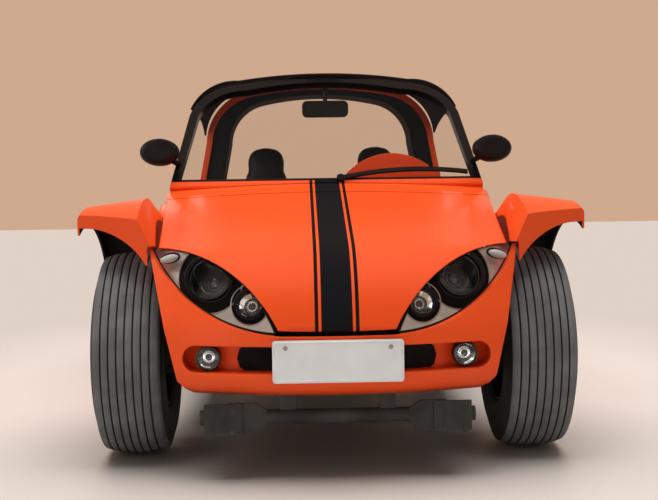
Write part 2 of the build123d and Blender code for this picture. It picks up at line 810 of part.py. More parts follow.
arch_top_z = axle_z + 195.0
with BuildPart() as wheel_room:
    with BuildSketch(side_view):
        with Locations((rear_axle_y, axle_z)):
            Circle(rear_wing[0][1] - wall)
    extrude(amount=reach)
with BuildPart() as side_left:
    with BuildSketch(side_view.offset(side_wall_x[0])):
        with BuildLine():
            side_outline()
        make_face()
    extrude(amount=side_wall_x[1] - side_wall_x[0])
    cross_edges = side_left.edges().filter_by(Axis.X)
    entry_corners = [e for e in cross_edges if e.center().Y < hoop_front_y and e.center().Z > entry_z - 1]
    fillet(entry_corners, 40)
    add(rear_wing_form(-seat_gap) & rear_plan, mode=Mode.SUBTRACT)
    add(wheel_room.part & rear_plan, mode=Mode.SUBTRACT)
    add(prism(side_view, rear_arch, reach), mode=Mode.SUBTRACT)
save(side_left.part, "side_wall_left")
save(mirror(side_left.part, about=Plane.YZ), "side_wall_right")

lid_hinge_radius = 9.0
lid_hinge_x = 210.0
lid_pin_radius = 4.5
deck_skin = deck_sheet(wall, deck_roll)
deck_fall = (deck_front[1] - deck_knee[1]) / (deck_knee[0] - deck_front[0])
lid_hinge_z = deck_front[1] - (lid_front_y - deck_front[0]) * deck_fall + lid_hinge_radius + 1


def lid_outline(grow):
    def draw():
        Polyline(
            (-lid_half - grow, lid_front_y - grow), (lid_half + grow, lid_front_y - grow),
            (lid_half - 40 + grow, lid_rear_y + grow), (40 - lid_half - grow, lid_rear_y + grow), close=True,
        )

    return draw


def lid_hinge(radius, start, end):
    """Bars along the lid's hinge line, on both sides, from start to end off each hinge's middle."""
    with BuildPart() as bars:
        for side in (1, -1):
            with BuildSketch(side_view.offset(side * lid_hinge_x + start)):
                with Locations((lid_front_y, lid_hinge_z)):
                    Circle(radius)
            extrude(amount=end - start)
    return bars.part


def strip_block(half):
    """Upright block of the car's whole length, half wide to each side."""
    return prism(
        Plane.XY,
        lambda: Polyline((-half, -reach), (half, -reach), (half, reach), (-half, reach), close=True), reach,
    )


def lid_foot(start, end, front, rear):
    """Leaves under the hinge bars, from front to rear of the hinge line, down into the sheet."""
    with BuildPart() as feet:
        for side in (1, -1):
            with BuildSketch(side_view.offset(side * lid_hinge_x + start)):
                with BuildLine():
                    Polyline(
                        (lid_front_y + front, lid_hinge_z - 13 - 0.187 * front),
                        (lid_front_y + rear, lid_hinge_z - 13 - 0.187 * rear),
                        (lid_front_y + rear, lid_hinge_z - 2 - 0.187 * rear),
                        (lid_front_y + front, lid_hinge_z - 2 - 0.187 * front), close=True,
                    )
                make_face()
            extrude(amount=end - start)
    return feet.part


def lid_knuckle_room():
    Polyline(
        (lid_front_y - 50, 600), (lid_front_y + 15, 600), (lid_front_y + 15, 1000),
        (lid_front_y - 50, 1000), close=True,
    )


def deck_wall_outline():
    Polyline(
        (side_rear_y + seat_gap, sill_z + seat_gap), (side_rear_y + seat_gap, hoop_foot_z - seat_gap),
        (hoop_rear_y, hoop_foot_z - seat_gap), (deck_front[0] + 8, deck_front[1] - 26),
        (deck_knee[0], deck_knee[1] - 24),
        (deck_knee[0], 430), (hoop_rear_y + 10, 430), (hoop_rear_y + 10, sill_z + seat_gap), close=True,
    )


with BuildPart() as deck:
    add(deck_skin & strip_block(wall_x[1]))
    add(prism(Plane.XY, lid_outline(panel_gap), reach), mode=Mode.SUBTRACT)
    for side in (1, -1):
        with BuildSketch(side_view.offset(side * wall_x[0])):
            with BuildLine():
                deck_wall_outline()
            make_face()
        extrude(amount=side * (wall_x[1] - wall_x[0]))
    for start in (-46, 34):
        add(lid_hinge(lid_hinge_radius, start, start + 12))
        add(lid_foot(start, start + 12, -30, 0))
    add(lid_hinge(lid_pin_radius, -40, 40))
save(deck.part, "rear_deck")

with BuildPart() as lid:
    add(deck_skin & prism(Plane.XY, lid_outline(0), reach))
    add(prism(side_view, lid_knuckle_room, reach), mode=Mode.SUBTRACT)
    add(lid_hinge(lid_hinge_radius, -32, 32))
    add(lid_foot(-32, 32, 0, 34))
    add(lid_hinge(lid_pin_radius + 0.6, -50, 50), mode=Mode.SUBTRACT)
save(lid.part, "engine_lid")


def rod(plane, centre, radius, length, bore=0.0):
    """Round bar, or tube if it has a bore, standing on a plane at a point of it."""
    with BuildPart() as bar:
        with BuildSketch(plane):
            with Locations(centre):
                Circle(radius)
                if bore:
                    Circle(bore, mode=Mode.SUBTRACT)
        extrude(amount=length)
    return bar.part


def block(low, high):
    """Box between two corners."""
    size = [b - a for a, b in zip(low, high)]
    return Pos(*low) * Box(*size, align=(Align.MIN, Align.MIN, Align.MIN), mode=Mode.PRIVATE)


def both_sides(shape):
    return [shape, mirror(shape, about=Plane.YZ)]


# Front axle: a beam of two tubes with end towers, arms to the king pins, steered knuckles and a sliding link
beam_radius = 30.0
beam_z = (sill_z + beam_radius + seat_gap, sill_z + beam_radius + seat_gap + 150)
beam_half = 330.0
arm_x = (beam_half + 12.0, beam_half + 32.0)
king_pin_x = 590.0
king_pin_radius = 12.0
knuckle_z = (axle_z - 45.0, axle_z + 65.0)
with BuildPart() as beam:
    for z in beam_z:
        add(rod(side_view.offset(-beam_half), (beam_y, z), beam_radius, 2 * beam_half))
    tower = block(
        (beam_half, beam_y - 42, beam_z[0] - 38), (arm_x[0], beam_y + 42, boot_floor_z - seat_gap),
    )
    clamp = block((100, beam_y - 20, beam_z[0]), (112, beam_y + 20, beam_z[1]))
    for shape in both_sides(tower) + both_sides(clamp):
        add(shape)
    for z in (knuckle_z[0] - 30, knuckle_z[1] + 10):
        trail = block((arm_x[0], beam_y - 20, z), (arm_x[1], front_axle_y + 20, z + 20))
        reach_out = block((arm_x[0], front_axle_y - 20, z), (king_pin_x, front_axle_y + 20, z + 20))
        boss = rod(Plane.XY.offset(z), (king_pin_x, front_axle_y), 20, 20)
        for shape in both_sides(trail) + both_sides(reach_out) + both_sides(boss):
            add(shape)
    pin = rod(
        Plane.XY.offset(knuckle_z[0] - 30), (king_pin_x, front_axle_y), king_pin_radius,
        knuckle_z[1] - knuckle_z[0] + 60,
    )
    for shape in both_sides(pin):
        add(shape)
save(beam.part, "front_axle_beam")

hub_face = 22.0
stub_radius = 17.0
drum_radius = 132.0
drum_x = (king_pin_x + 53.0, king_pin_x + 90.0)
steer_arm_y = front_axle_y + 95.0
with BuildPart() as knuckle:
    add(rod(Plane.XY.offset(knuckle_z[0]), (king_pin_x, front_axle_y), 26, knuckle_z[1] - knuckle_z[0]))
    add(rod(side_view.offset(king_pin_x + 10), (front_axle_y, axle_z), 36, drum_x[0] - king_pin_x))
    add(rod(side_view.offset(drum_x[0]), (front_axle_y, axle_z), drum_radius, drum_x[1] - drum_x[0]))
    add(
        rod(
            side_view.offset(king_pin_x + 20), (front_axle_y, axle_z), stub_radius,
            front_track / 2 + hub_face - king_pin_x + 40,
        )
    )
    add(
        block(
            (king_pin_x - 10, front_axle_y, knuckle_z[0]),
            (king_pin_x + 10, steer_arm_y + 12, knuckle_z[0] + 18),
        )
    )
    add(rod(Plane.XY.offset(knuckle_z[0] - 22), (king_pin_x, steer_arm_y), 8, 30))
    add(
        rod(Plane.XY.offset(0), (king_pin_x, front_axle_y), king_pin_radius + 0.5, 2 * axle_z),
        mode=Mode.SUBTRACT,
    )
save(knuckle.part, "knuckle_left")
save(mirror(knuckle.part, about=Plane.YZ), "knuckle_right")

# Wheels: tyre of one turned section, rim with a dished, pierced disc
rim_lip = 14.0
rim_well = 26.0
disc_thickness = 9.0
hub_radius = 62.0
window_count = 8
window_radius = 21.0
window_circle = 112.0


def tyre(width):
    """Tyre with crowned tread and bellied walls, turned about X at the origin."""
    half = width / 2
    bead = half - 26
    with BuildPart() as body:
        with BuildSketch(Plane.XY):
            with BuildLine():
                Polyline((-bead, rim_radius), (bead, rim_radius))
                for side in (1, -1):
                    ThreePointArc(
                        (side * bead, rim_radius), (side * half, (rim_radius + tyre_radius) / 2),
                        (side * (half - 16), tyre_radius - 14),
                    )
                ThreePointArc(
                    (half - 16, tyre_radius - 14), (0, tyre_radius), (16 - half, tyre_radius - 14),
                )
            make_face()
        revolve(axis=Axis.X)
    return body.part


def rim(width, disc_x):
    """Rim with a well, an outer lip and a pierced disc whose middle bolts to the hub at disc_x."""
    edge = width / 2 - 20
    seat = rim_radius - seat_gap
    inner = seat - rim_well
    with BuildPart() as body:
        with BuildSketch(Plane.XY):
            with BuildLine():
                Polyline(
                    (-edge, seat), (edge, seat), (edge, seat - 7), (edge - 24, seat - 10), (edge - 42, inner),
                    (20 - edge, inner), (-edge, seat - 8), close=True,
                )
            make_face()
        revolve(axis=Axis.X)
        with BuildSketch(Plane.XY):
            with BuildLine():
                Polyline(
                    (disc_x, stub_radius + 0.5), (disc_x, hub_radius), (edge - 80, inner - 20),
                    (edge - 80, inner + 4),
                    (edge - 70, inner + 4), (edge - 70, inner - 24),
                    (disc_x + 10, hub_radius - 4), (disc_x + 10, stub_radius + 0.5), close=True,
                )
            make_face()
        revolve(axis=Axis.X)
        with BuildSketch(side_view.offset(-width)):
            with PolarLocations(window_circle, window_count):
                Circle(window_radius)
        extrude(amount=2 * width, mode=Mode.SUBTRACT)
    return body.part


# Columns: place, axle y, track, tyre width
axles = (
    ("front", front_axle_y, front_track, front_tyre_width),
    ("rear", rear_axle_y, rear_track, rear_tyre_width),
)
for place, axle_y, track, width in axles:
    where = Pos(track / 2, axle_y, axle_z)
    for name, shape in (("tyre", where * tyre(width)), ("rim", where * rim(width, hub_face))):
        save(shape, f"{name}_{place}_left")
        save(mirror(shape, about=Plane.YZ), f"{name}_{place}_right")

# Sliding steering link: a bar in two guides on the floor, with open jaws round the steering arms' pins
rack_y = steer_arm_y
rack_z = sill_z + 12.5
rack_radius = 7.0
jaw_x = king_pin_x
with BuildPart() as rack:
    add(rod(side_view.offset(20 - jaw_x), (rack_y - 40, rack_z), rack_radius, 2 * (jaw_x - 20)))
    # Columns: inner x, outer x and rear y of a jaw's bars, off the pin
    for inner, outer, rear in ((-25, -14, 16), (14, 25, 16), (-25, 25, -33)):
        bar = block(
            (jaw_x + inner, rack_y - 47, rack_z - rack_radius),
            (jaw_x + outer, rack_y + rear, rack_z + rack_radius),
        )
        for shape in both_sides(bar):
            add(shape)
save(rack.part, "steering_link")

with BuildPart() as floor_with_guides:
    add(floor_pan.part)
    for shape in both_sides(block((150, rack_y - 60, sill_z - 1), (190, rack_y - 20, rack_z + 20))):
        add(shape)
    add(
        rod(side_view.offset(-beam_half), (rack_y - 40, rack_z), rack_radius + 0.5, 2 * beam_half),
        mode=Mode.SUBTRACT,
    )
save(floor_with_guides.part, "floor_pan")

# Rear axle: torsion tube with spring plates, gearbox with axle tubes and drums, dampers, engine and exhaust
torsion_y = hoop_rear_y + 60.0
plate_x = (440.0, 452.0)
gearbox_half = 105.0
axle_tube_radius = 36.0
rear_drum_x = (rear_track / 2 - 72.0, rear_track / 2 - 12.0)
with BuildPart() as torsion:
    add(rod(side_view.offset(-plate_x[0]), (torsion_y, axle_z - 10), 38, 2 * plate_x[0]))
    for shape in both_sides(
        block((plate_x[0] - 1, torsion_y - 30, axle_z - 45), (plate_x[1], rear_axle_y - 44, axle_z + 25))
    ):
        add(shape)
    for shape in both_sides(
        block((plate_x[1] - 1, torsion_y - 25, axle_z - 30), (wall_x[0] - seat_gap, torsion_y + 25, 470))
    ):
        add(shape)
    add(
        rod(side_view.offset(-gearbox_half - 12), (torsion_y, axle_z - 10), 42, 2 * gearbox_half + 24),
        mode=Mode.SUBTRACT,
    )

with BuildPart() as gearbox:
    add(
        block(
            (-gearbox_half, hoop_rear_y + 40, axle_z - 90), (gearbox_half, rear_axle_y + 90, axle_z + 100),
        )
    )
    fillet(gearbox.edges().filter_by(Axis.Y), 40)
    add(rod(side_view.offset(-rear_drum_x[0]), (rear_axle_y, axle_z), axle_tube_radius, 2 * rear_drum_x[0]))
    hub_end = rear_track / 2 + hub_face + 30
    for shape in both_sides(
        rod(
            side_view.offset(rear_drum_x[0]), (rear_axle_y, axle_z), drum_radius,
            rear_drum_x[1] - rear_drum_x[0],
        )
    ):
        add(shape)
    add(rod(side_view.offset(-hub_end), (rear_axle_y, axle_z), stub_radius, 2 * hub_end))
    for shape in both_sides(
        block(
            (plate_x[0], rear_axle_y - 44 + seat_gap, axle_z - 25), (plate_x[1], rear_axle_y, axle_z + 25),
        )
    ):
        add(shape)
save(gearbox.part, "transaxle")

damper_x = 456.0
with BuildPart() as dampers:
    for side in (1, -1):
        add(
            rod(
                Plane.XY.offset(axle_z + axle_tube_radius + seat_gap), (side * damper_x, rear_axle_y), 18,
                120,
            )
        )
        add(rod(Plane.XY.offset(axle_z + axle_tube_radius + 118), (side * damper_x, rear_axle_y), 26, 190))
    for shape in both_sides(
        block((damper_x - 10, rear_axle_y - 25, 660), (wall_x[0] - seat_gap, rear_axle_y + 25, 690))
    ):
        add(shape)
save(Compound(torsion.part.solids() + dampers.part.solids()), "rear_suspension")

engine_front_y = rear_axle_y + 90.0 + seat_gap
engine_y = (engine_front_y, engine_front_y + 440)
with BuildPart() as engine:
    add(block((-190, engine_y[0], axle_z - 70), (190, engine_y[1], axle_z + 150)))
    add(block((-330, engine_y[0] + 60, axle_z - 20), (330, engine_y[0] + 300, axle_z + 90)))
    add(block((-210, engine_y[0] + 70, axle_z + 100), (210, engine_y[0] + 250, axle_z + 345)))
    fillet(engine.edges().filter_by(Axis.Y).group_by(Axis.Z)[-1], 90)
    add(rod(front_view.offset(-engine_y[0] - 240), (0, axle_z + 230), 75, -150))
save(engine.part, "engine")

muffler_y = engine_y[1] + 75.0
with BuildPart() as exhaust:
    add(rod(side_view.offset(-300), (muffler_y, axle_z - 50), 62, 600))
    for side in (1, -1):
        add(
            rod(
                front_view.offset(-engine_y[0] - 120), (side * 285, axle_z - 50), 20,
                engine_y[0] + 120 - muffler_y,
            )
        )
        add(rod(front_view.offset(-muffler_y), (side * 150, axle_z - 70), 22, muffler_y - tail_y + 45))
        add(rod(Plane.XY.offset(axle_z - 50), (side * 285, engine_y[0] + 140), 20, 30 - seat_gap))
save(exhaust.part, "exhaust")

bumper_radius = 24.0
bumper_z = 470.0
with BuildPart() as bumper:
    add(rod(side_view.offset(-wall_x[1]), (tail_y - bumper_radius, bumper_z), bumper_radius, 2 * wall_x[1]))
    for shape in both_sides(
        block(
            (wall_x[0] - 14, deck_knee[0] - 120, bumper_z - 20),
            (wall_x[0] - seat_gap, tail_y - bumper_radius, bumper_z + 20),
        )
    ):
        add(shape)
save(bumper.part, "rear_bumper")

tail_lamp = (415.0, 655.0, 44.0)
with BuildPart() as tail_lamps:
    for side in (1, -1):
        add(rod(front_view.offset(-tail_y + 45), (side * tail_lamp[0], tail_lamp[1]), tail_lamp[2], 160))
    add(deck_sheet(200, deck_roll), mode=Mode.SUBTRACT)
save(tail_lamps.part, "tail_lamps")

with BuildPart() as bulkhead:
    add(
        block(
            (seat_gap - wall_x[0], floor_rear_y + seat_gap, sill_z - floor_wall),
            (wall_x[0] - seat_gap, floor_rear_y + seat_gap + wall, 900),
        )
    )
save(bulkhead.part, "rear_bulkhead")

# Cabin: dashboard with a hooded binnacle, steering wheel on its column, seats, rear bench, levers and pedals
dash_half = side_wall_x[0] - seat_gap
dash_y = (firewall_y + 10 + seat_gap, firewall_y + 200.0)
dash_top_z = 880.0
hood_top_z = 1060.0
hood_reach = (300.0, 232.0)  # inboard and outboard of the wheel's centre
seat_x = 270.0
with BuildPart() as dashboard:
    with BuildSketch(side_view.offset(-dash_half)):
        with BuildLine():
            Polyline(
                (dash_y[0], 690), (dash_y[0], dash_top_z), (dash_y[1] - 20, dash_top_z),
                (dash_y[1], dash_top_z - 40), (dash_y[1] - 25, 690), close=True,
            )
        make_face()
    extrude(amount=2 * dash_half)
    with BuildSketch(front_view.offset(-dash_y[1] + 20)):
        with BuildLine():
            hood_foot_z = dash_top_z - 30
            Spline(
                (seat_x - hood_reach[0], hood_foot_z), (seat_x - 170, hood_top_z - 66),
                (seat_x - 10, hood_top_z),
                (seat_x + 150, hood_top_z - 52), (seat_x + hood_reach[1], hood_foot_z),
                tangents=((1, 0.8), (0.45, -1)),
            )
            Line((seat_x - hood_reach[0], hood_foot_z), (seat_x + hood_reach[1], hood_foot_z))
        make_face()
    extrude(amount=-100)
save(dashboard.part, "dashboard")

wheel_tilt = 28.0
wheel_centre = (seat_x, firewall_y + 400.0, 850.0)
wheel_plane = Plane(
    wheel_centre, x_dir=(1, 0, 0), z_dir=(0, cos(radians(wheel_tilt)), sin(radians(wheel_tilt))),
)
wheel_radius = 175.0
rim_section = 13.0
with BuildPart() as steering_wheel:
    with BuildSketch(Plane(wheel_plane.origin, x_dir=wheel_plane.x_dir, z_dir=wheel_plane.y_dir)):
        with Locations((wheel_radius, 0)):
            Circle(rim_section)
    revolve(axis=Axis(wheel_plane.origin, wheel_plane.z_dir))
    with BuildSketch(wheel_plane.offset(-25)):
        Circle(34)
    extrude(amount=32)
    with BuildSketch(wheel_plane.offset(-8)):
        with PolarLocations(wheel_radius / 2, 3, start_angle=-90):
            Rectangle(wheel_radius, 26)
    extrude(amount=8)
    with BuildSketch(wheel_plane.offset(-60)):
        Circle(14)
    extrude(amount=40)
save(steering_wheel.part, "steering_wheel")

with BuildPart() as column:
    with BuildSketch(wheel_plane.offset(-60 - seat_gap)):
        Circle(24)
    extrude(amount=-200)
    add(dashboard.part, mode=Mode.SUBTRACT)
save(column.part.solids().sort_by(Axis.Y)[-1], "steering_column")

seat_half = 180.0
head_top = 712.0  # height of the head rest up the leaning back
seat_y = firewall_y + 760.0
back_lean = radians(14)
back_foot = (190.0, 470.0)


def seat_shell():
    """Bucket seat: pan, leaning back with a narrower head, and side bolsters, on a plinth."""
    with BuildPart() as seat:
        add(block((-170, -160, sill_z + seat_gap), (170, 200, 380)))
        add(block((-seat_half, -200, 380), (seat_half, 260, 480)))
        fillet(seat.edges().filter_by(Axis.X).group_by(Axis.Z)[-1], 35)
        back = Plane((0, *back_foot), x_dir=(1, 0, 0), z_dir=(0, -cos(back_lean), sin(back_lean)))
        with BuildSketch(back):
            with BuildLine():
                Polyline((-seat_half, -40), (seat_half, -40), (seat_half, 330))
                ThreePointArc((seat_half, 330), (158, 430), (112, 500))
                Line((112, 500), (92, 630))
                ThreePointArc((92, 630), (0, head_top), (-92, 630))
                Line((-92, 630), (-112, 500))
                ThreePointArc((-112, 500), (-158, 430), (-seat_half, 330))
                Line((-seat_half, 330), (-seat_half, -40))
            make_face()
        extrude(amount=-85)
        for side in (1, -1):
            with BuildSketch(back):
                with Locations((side * (seat_half - 28), 150)):
                    RectangleRounded(56, 330, 26)
            extrude(amount=45)
            with Locations((side * (seat_half - 28), 20, 495)):
                Box(56, 380, 60)
    return seat.part


shell = seat_shell()
for side_name, side in sides:
    save(Pos(side * seat_x, seat_y, 0) * shell, f"seat_{side_name}")

bench_y = (hoop_front_y - 5.0, floor_rear_y - seat_gap)
with BuildPart() as bench:
    with BuildSketch(side_view.offset(-wall_x[0] + 40)):
        with BuildLine():
            Polyline(
                (bench_y[0], tunnel_top_z + seat_gap), (bench_y[0], 470), (bench_y[1] - 120, 455),
                (bench_y[1] - 70, 850),
                (bench_y[1], 860), (bench_y[1], tunnel_top_z + seat_gap), close=True,
            )
        make_face()
    extrude(amount=2 * (wall_x[0] - 40))
    fillet(bench.edges().filter_by(Axis.X).group_by(Axis.Z)[-2:], 20)
save(bench.part, "rear_bench")

lever_y = firewall_y + 370.0
brake_y = firewall_y + 580.0
with BuildPart() as levers:
    add(rod(Plane.XY.offset(tunnel_top_z + seat_gap), (0, lever_y), 45, 14))
    add(rod(Plane((0, lever_y + 1, tunnel_top_z + 5), z_dir=(0, 0.2, 1)), (0, 0), 8, 265))
    with Locations((0, lever_y + 53, tunnel_top_z + 268)):
        Sphere(24)
    add(block((-22, brake_y - 70, tunnel_top_z + seat_gap), (22, brake_y + 130, tunnel_top_z + 40)))
    add(rod(Plane((0, brake_y, tunnel_top_z + 25), z_dir=(0, -0.94, 0.34)), (0, 0), 11, 200))

with BuildPart() as pedals:
    for x in (190, 270, 350):
        add(block((x - 26, firewall_y + 10 + seat_gap, 420), (x + 26, firewall_y + 34, 500)))
        add(block((x - 8, firewall_y + 10 + seat_gap, 490), (x + 8, firewall_y + 28, 600)))
save(Compound(levers.part.solids() + pedals.part.solids()), "controls")

# Outside: mirrors, wiper, lower crossbar
mirror_centre = (cowl_half + 39.0, screen_base[0] - 3.0, 1068.0)
with BuildPart() as side_mirror:
    with BuildSketch(front_view.offset(-mirror_centre[1])):
        with Locations((mirror_centre[0], mirror_centre[2])):
            Ellipse(76, 54)
    extrude(amount=54)
    fillet(side_mirror.edges().group_by(Axis.Y)[0], 28)
    stalk_foot = (cowl_half - 38, mirror_centre[1] + 70, 1018.0)
    stalk_head = (mirror_centre[0] - 40, mirror_centre[1] - 14, mirror_centre[2] - 30)
    stalk_run = [b - a for a, b in zip(stalk_foot, stalk_head)]
    add(rod(Plane(stalk_foot, z_dir=stalk_run), (0, 0), 11, sqrt(sum(d * d for d in stalk_run))))
    add(screen_slab(-seat_gap, frame_depth + 2 * seat_gap), mode=Mode.SUBTRACT)
mirror_left = side_mirror.part.solids().sort_by(Axis.X)[-1]
save(mirror_left, "side_mirror_left")
save(mirror(mirror_left, about=Plane.YZ), "side_mirror_right")

cabin_mirror = (6.0, screen_top_y, 1258.0)
with BuildPart() as cabin_glass:
    with BuildSketch(front_view.offset(-cabin_mirror[1])):
        with Locations((cabin_mirror[0], cabin_mirror[2])):
            RectangleRounded(196, 70, 22)
    extrude(amount=24)
    add(rod(Plane.XY.offset(cabin_mirror[2] + 20), (cabin_mirror[0], cabin_mirror[1] - 12), 9, 130))
    add(screen_slab(-seat_gap, frame_depth + 2 * seat_gap), mode=Mode.SUBTRACT)
save(cabin_glass.part.solids().sort_by(Axis.Z)[0], "cabin_mirror")

wiper_pivot = (55.0, 4.0)
wiper_middle = (330.0, 44.0)
wiper_tip = (560.0, 28.0)
wiper_half = 9.0
with BuildPart() as wiper:
    with BuildSketch(screen_plane.offset(frame_depth / 2 + 3)):
        with BuildLine():
            for lift in (-wiper_half, wiper_half):
                ThreePointArc(*((x, z + lift) for x, z in (wiper_pivot, wiper_middle, wiper_tip)))
            for x, z in (wiper_pivot, wiper_tip):
                Line((x, z - wiper_half), (x, z + wiper_half))
        make_face()
    extrude(amount=9)
    with BuildSketch(screen_plane.offset(frame_depth / 2 + seat_gap)):
        with Locations(wiper_pivot):
            Circle(16)
    extrude(amount=14)
    add(cowl_ground, mode=Mode.SUBTRACT)
save(wiper.part, "wiper")

crossbar_y = nose_y + 97.0
crossbar_z = 200.0
crossbar_radius = 23.0
bracket_x = (132.0, 180.0)
plate_x_range = (298.0, 416.0)
plate_half = 47.0
gusset_x = (222.0, 258.0)  # where the plate behind each end plate starts and where it is full height


def gusset_outline():
    """Front view of the plate that widens from the bar to an end plate."""
    Polyline(
        (gusset_x[0], crossbar_z - crossbar_radius), (gusset_x[0], crossbar_z + crossbar_radius),
        (gusset_x[1], crossbar_z + plate_half), (plate_x_range[0] + 40, crossbar_z + plate_half),
        (plate_x_range[0] + 40, crossbar_z - plate_half), (gusset_x[1], crossbar_z - plate_half), close=True,
    )


with BuildPart() as crossbar:
    add(rod(side_view.offset(-430), (crossbar_y, crossbar_z), crossbar_radius, 860))
    with BuildSketch(front_view.offset(-crossbar_y + 10)):
        with BuildLine():
            gusset_outline()
        make_face()
        mirror(about=Plane.YZ)
    extrude(amount=12)
    for shape in both_sides(
        block(
            (plate_x_range[0], crossbar_y - 30, crossbar_z - plate_half - 1),
            (plate_x_range[1], crossbar_y - 20, crossbar_z + plate_half - 1),
        )
    ):
        add(shape)
    for shape in both_sides(
        block((bracket_x[0], crossbar_y - 6, crossbar_z), (bracket_x[1], crossbar_y + 14, nose_bottom_z + 34))
    ):
        add(shape)
    for shape in both_sides(
        block((bracket_x[0], crossbar_y - 6, nose_bottom_z + 14), (bracket_x[1], beam_y, nose_bottom_z + 34))
    ):
        add(shape)
    nose_inside = nose_block(-wall - seat_gap, 400)
    for shape in both_sides(
        block((bracket_x[0], nose_y, nose_bottom_z + 14), (bracket_x[1], crossbar_y, nose_bottom_z + 34))
        & nose_inside
    ):
        add(shape)
    for z in beam_z:
        add(
            rod(side_view.offset(-beam_half), (beam_y, z), beam_radius + seat_gap, 2 * beam_half),
            mode=Mode.SUBTRACT,
        )
save(crossbar.part, "front_crossbar")
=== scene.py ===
import json
import math

import bmesh
import bpy
from mathutils import Matrix, Vector
from mathutils.bvhtree import BVHTree


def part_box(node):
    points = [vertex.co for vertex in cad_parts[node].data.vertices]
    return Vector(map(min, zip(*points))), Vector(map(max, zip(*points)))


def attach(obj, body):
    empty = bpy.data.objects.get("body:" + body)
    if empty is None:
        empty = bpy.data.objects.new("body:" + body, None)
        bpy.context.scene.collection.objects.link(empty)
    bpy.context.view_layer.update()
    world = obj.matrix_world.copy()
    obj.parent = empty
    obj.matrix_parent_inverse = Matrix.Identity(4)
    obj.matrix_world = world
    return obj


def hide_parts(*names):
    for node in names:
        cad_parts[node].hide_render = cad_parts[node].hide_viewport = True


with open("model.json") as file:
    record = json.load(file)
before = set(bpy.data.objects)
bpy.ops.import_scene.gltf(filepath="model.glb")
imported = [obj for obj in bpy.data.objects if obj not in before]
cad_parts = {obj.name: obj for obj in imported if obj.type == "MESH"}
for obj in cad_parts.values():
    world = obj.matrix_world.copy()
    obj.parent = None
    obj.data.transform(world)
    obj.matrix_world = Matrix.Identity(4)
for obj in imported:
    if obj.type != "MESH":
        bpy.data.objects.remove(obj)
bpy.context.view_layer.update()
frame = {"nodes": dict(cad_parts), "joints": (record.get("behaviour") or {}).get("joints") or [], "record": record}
nodes = frame["nodes"]
bodyOf = {node: body for body, members in frame["record"]["behaviour"]["bodies"].items() for node in members}
jointAt = {joint["name"]: Vector(joint.get("pos_m", (0, 0, 0))) for joint in frame["joints"]}
sides = (("left", 1), ("right", -1))
places = ("front", "rear")
print("frame loaded:", len(nodes), "nodes")


# short ways to build node trees
def addNodes(tree, *kinds, family="ShaderNode"):
    return [tree.nodes.new(family + kind) for kind in kinds]


def wire(tree, *rows):
    # each row is (node, output, node, input)
    for source, output, target, socket in rows:
        tree.links.new(source.outputs[output], target.inputs[socket])


def newGroup(name, kind, inputs, outputs):
    # sockets are (label, type) pairs
    tree = bpy.data.node_groups.new(name, kind)
    for direction, sockets in (("OUTPUT", outputs), ("INPUT", inputs)):
        for label, socketType in sockets:
            tree.interface.new_socket(label, in_out=direction, socket_type="NodeSocket" + socketType)
    return tree, tree.nodes.new("NodeGroupInput"), tree.nodes.new("NodeGroupOutput")


def placeGroup(tree, group, values):
    node = tree.nodes.new("ShaderNodeGroup")
    node.node_tree = group
    for socket, value in values.items():
        node.inputs[socket].default_value = value
    return node


def layOver(tree, colour, mask, tint):
    # a plain tint over a colour, where the mask is 1
    mix = tree.nodes.new("ShaderNodeMix")
    mix.data_type = "RGBA"
    mix.inputs["B"].default_value = (*tint, 1)
    tree.links.new(mask, mix.inputs["Factor"])
    tree.links.new(colour, mix.inputs["A"])
    return mix.outputs["Result"]


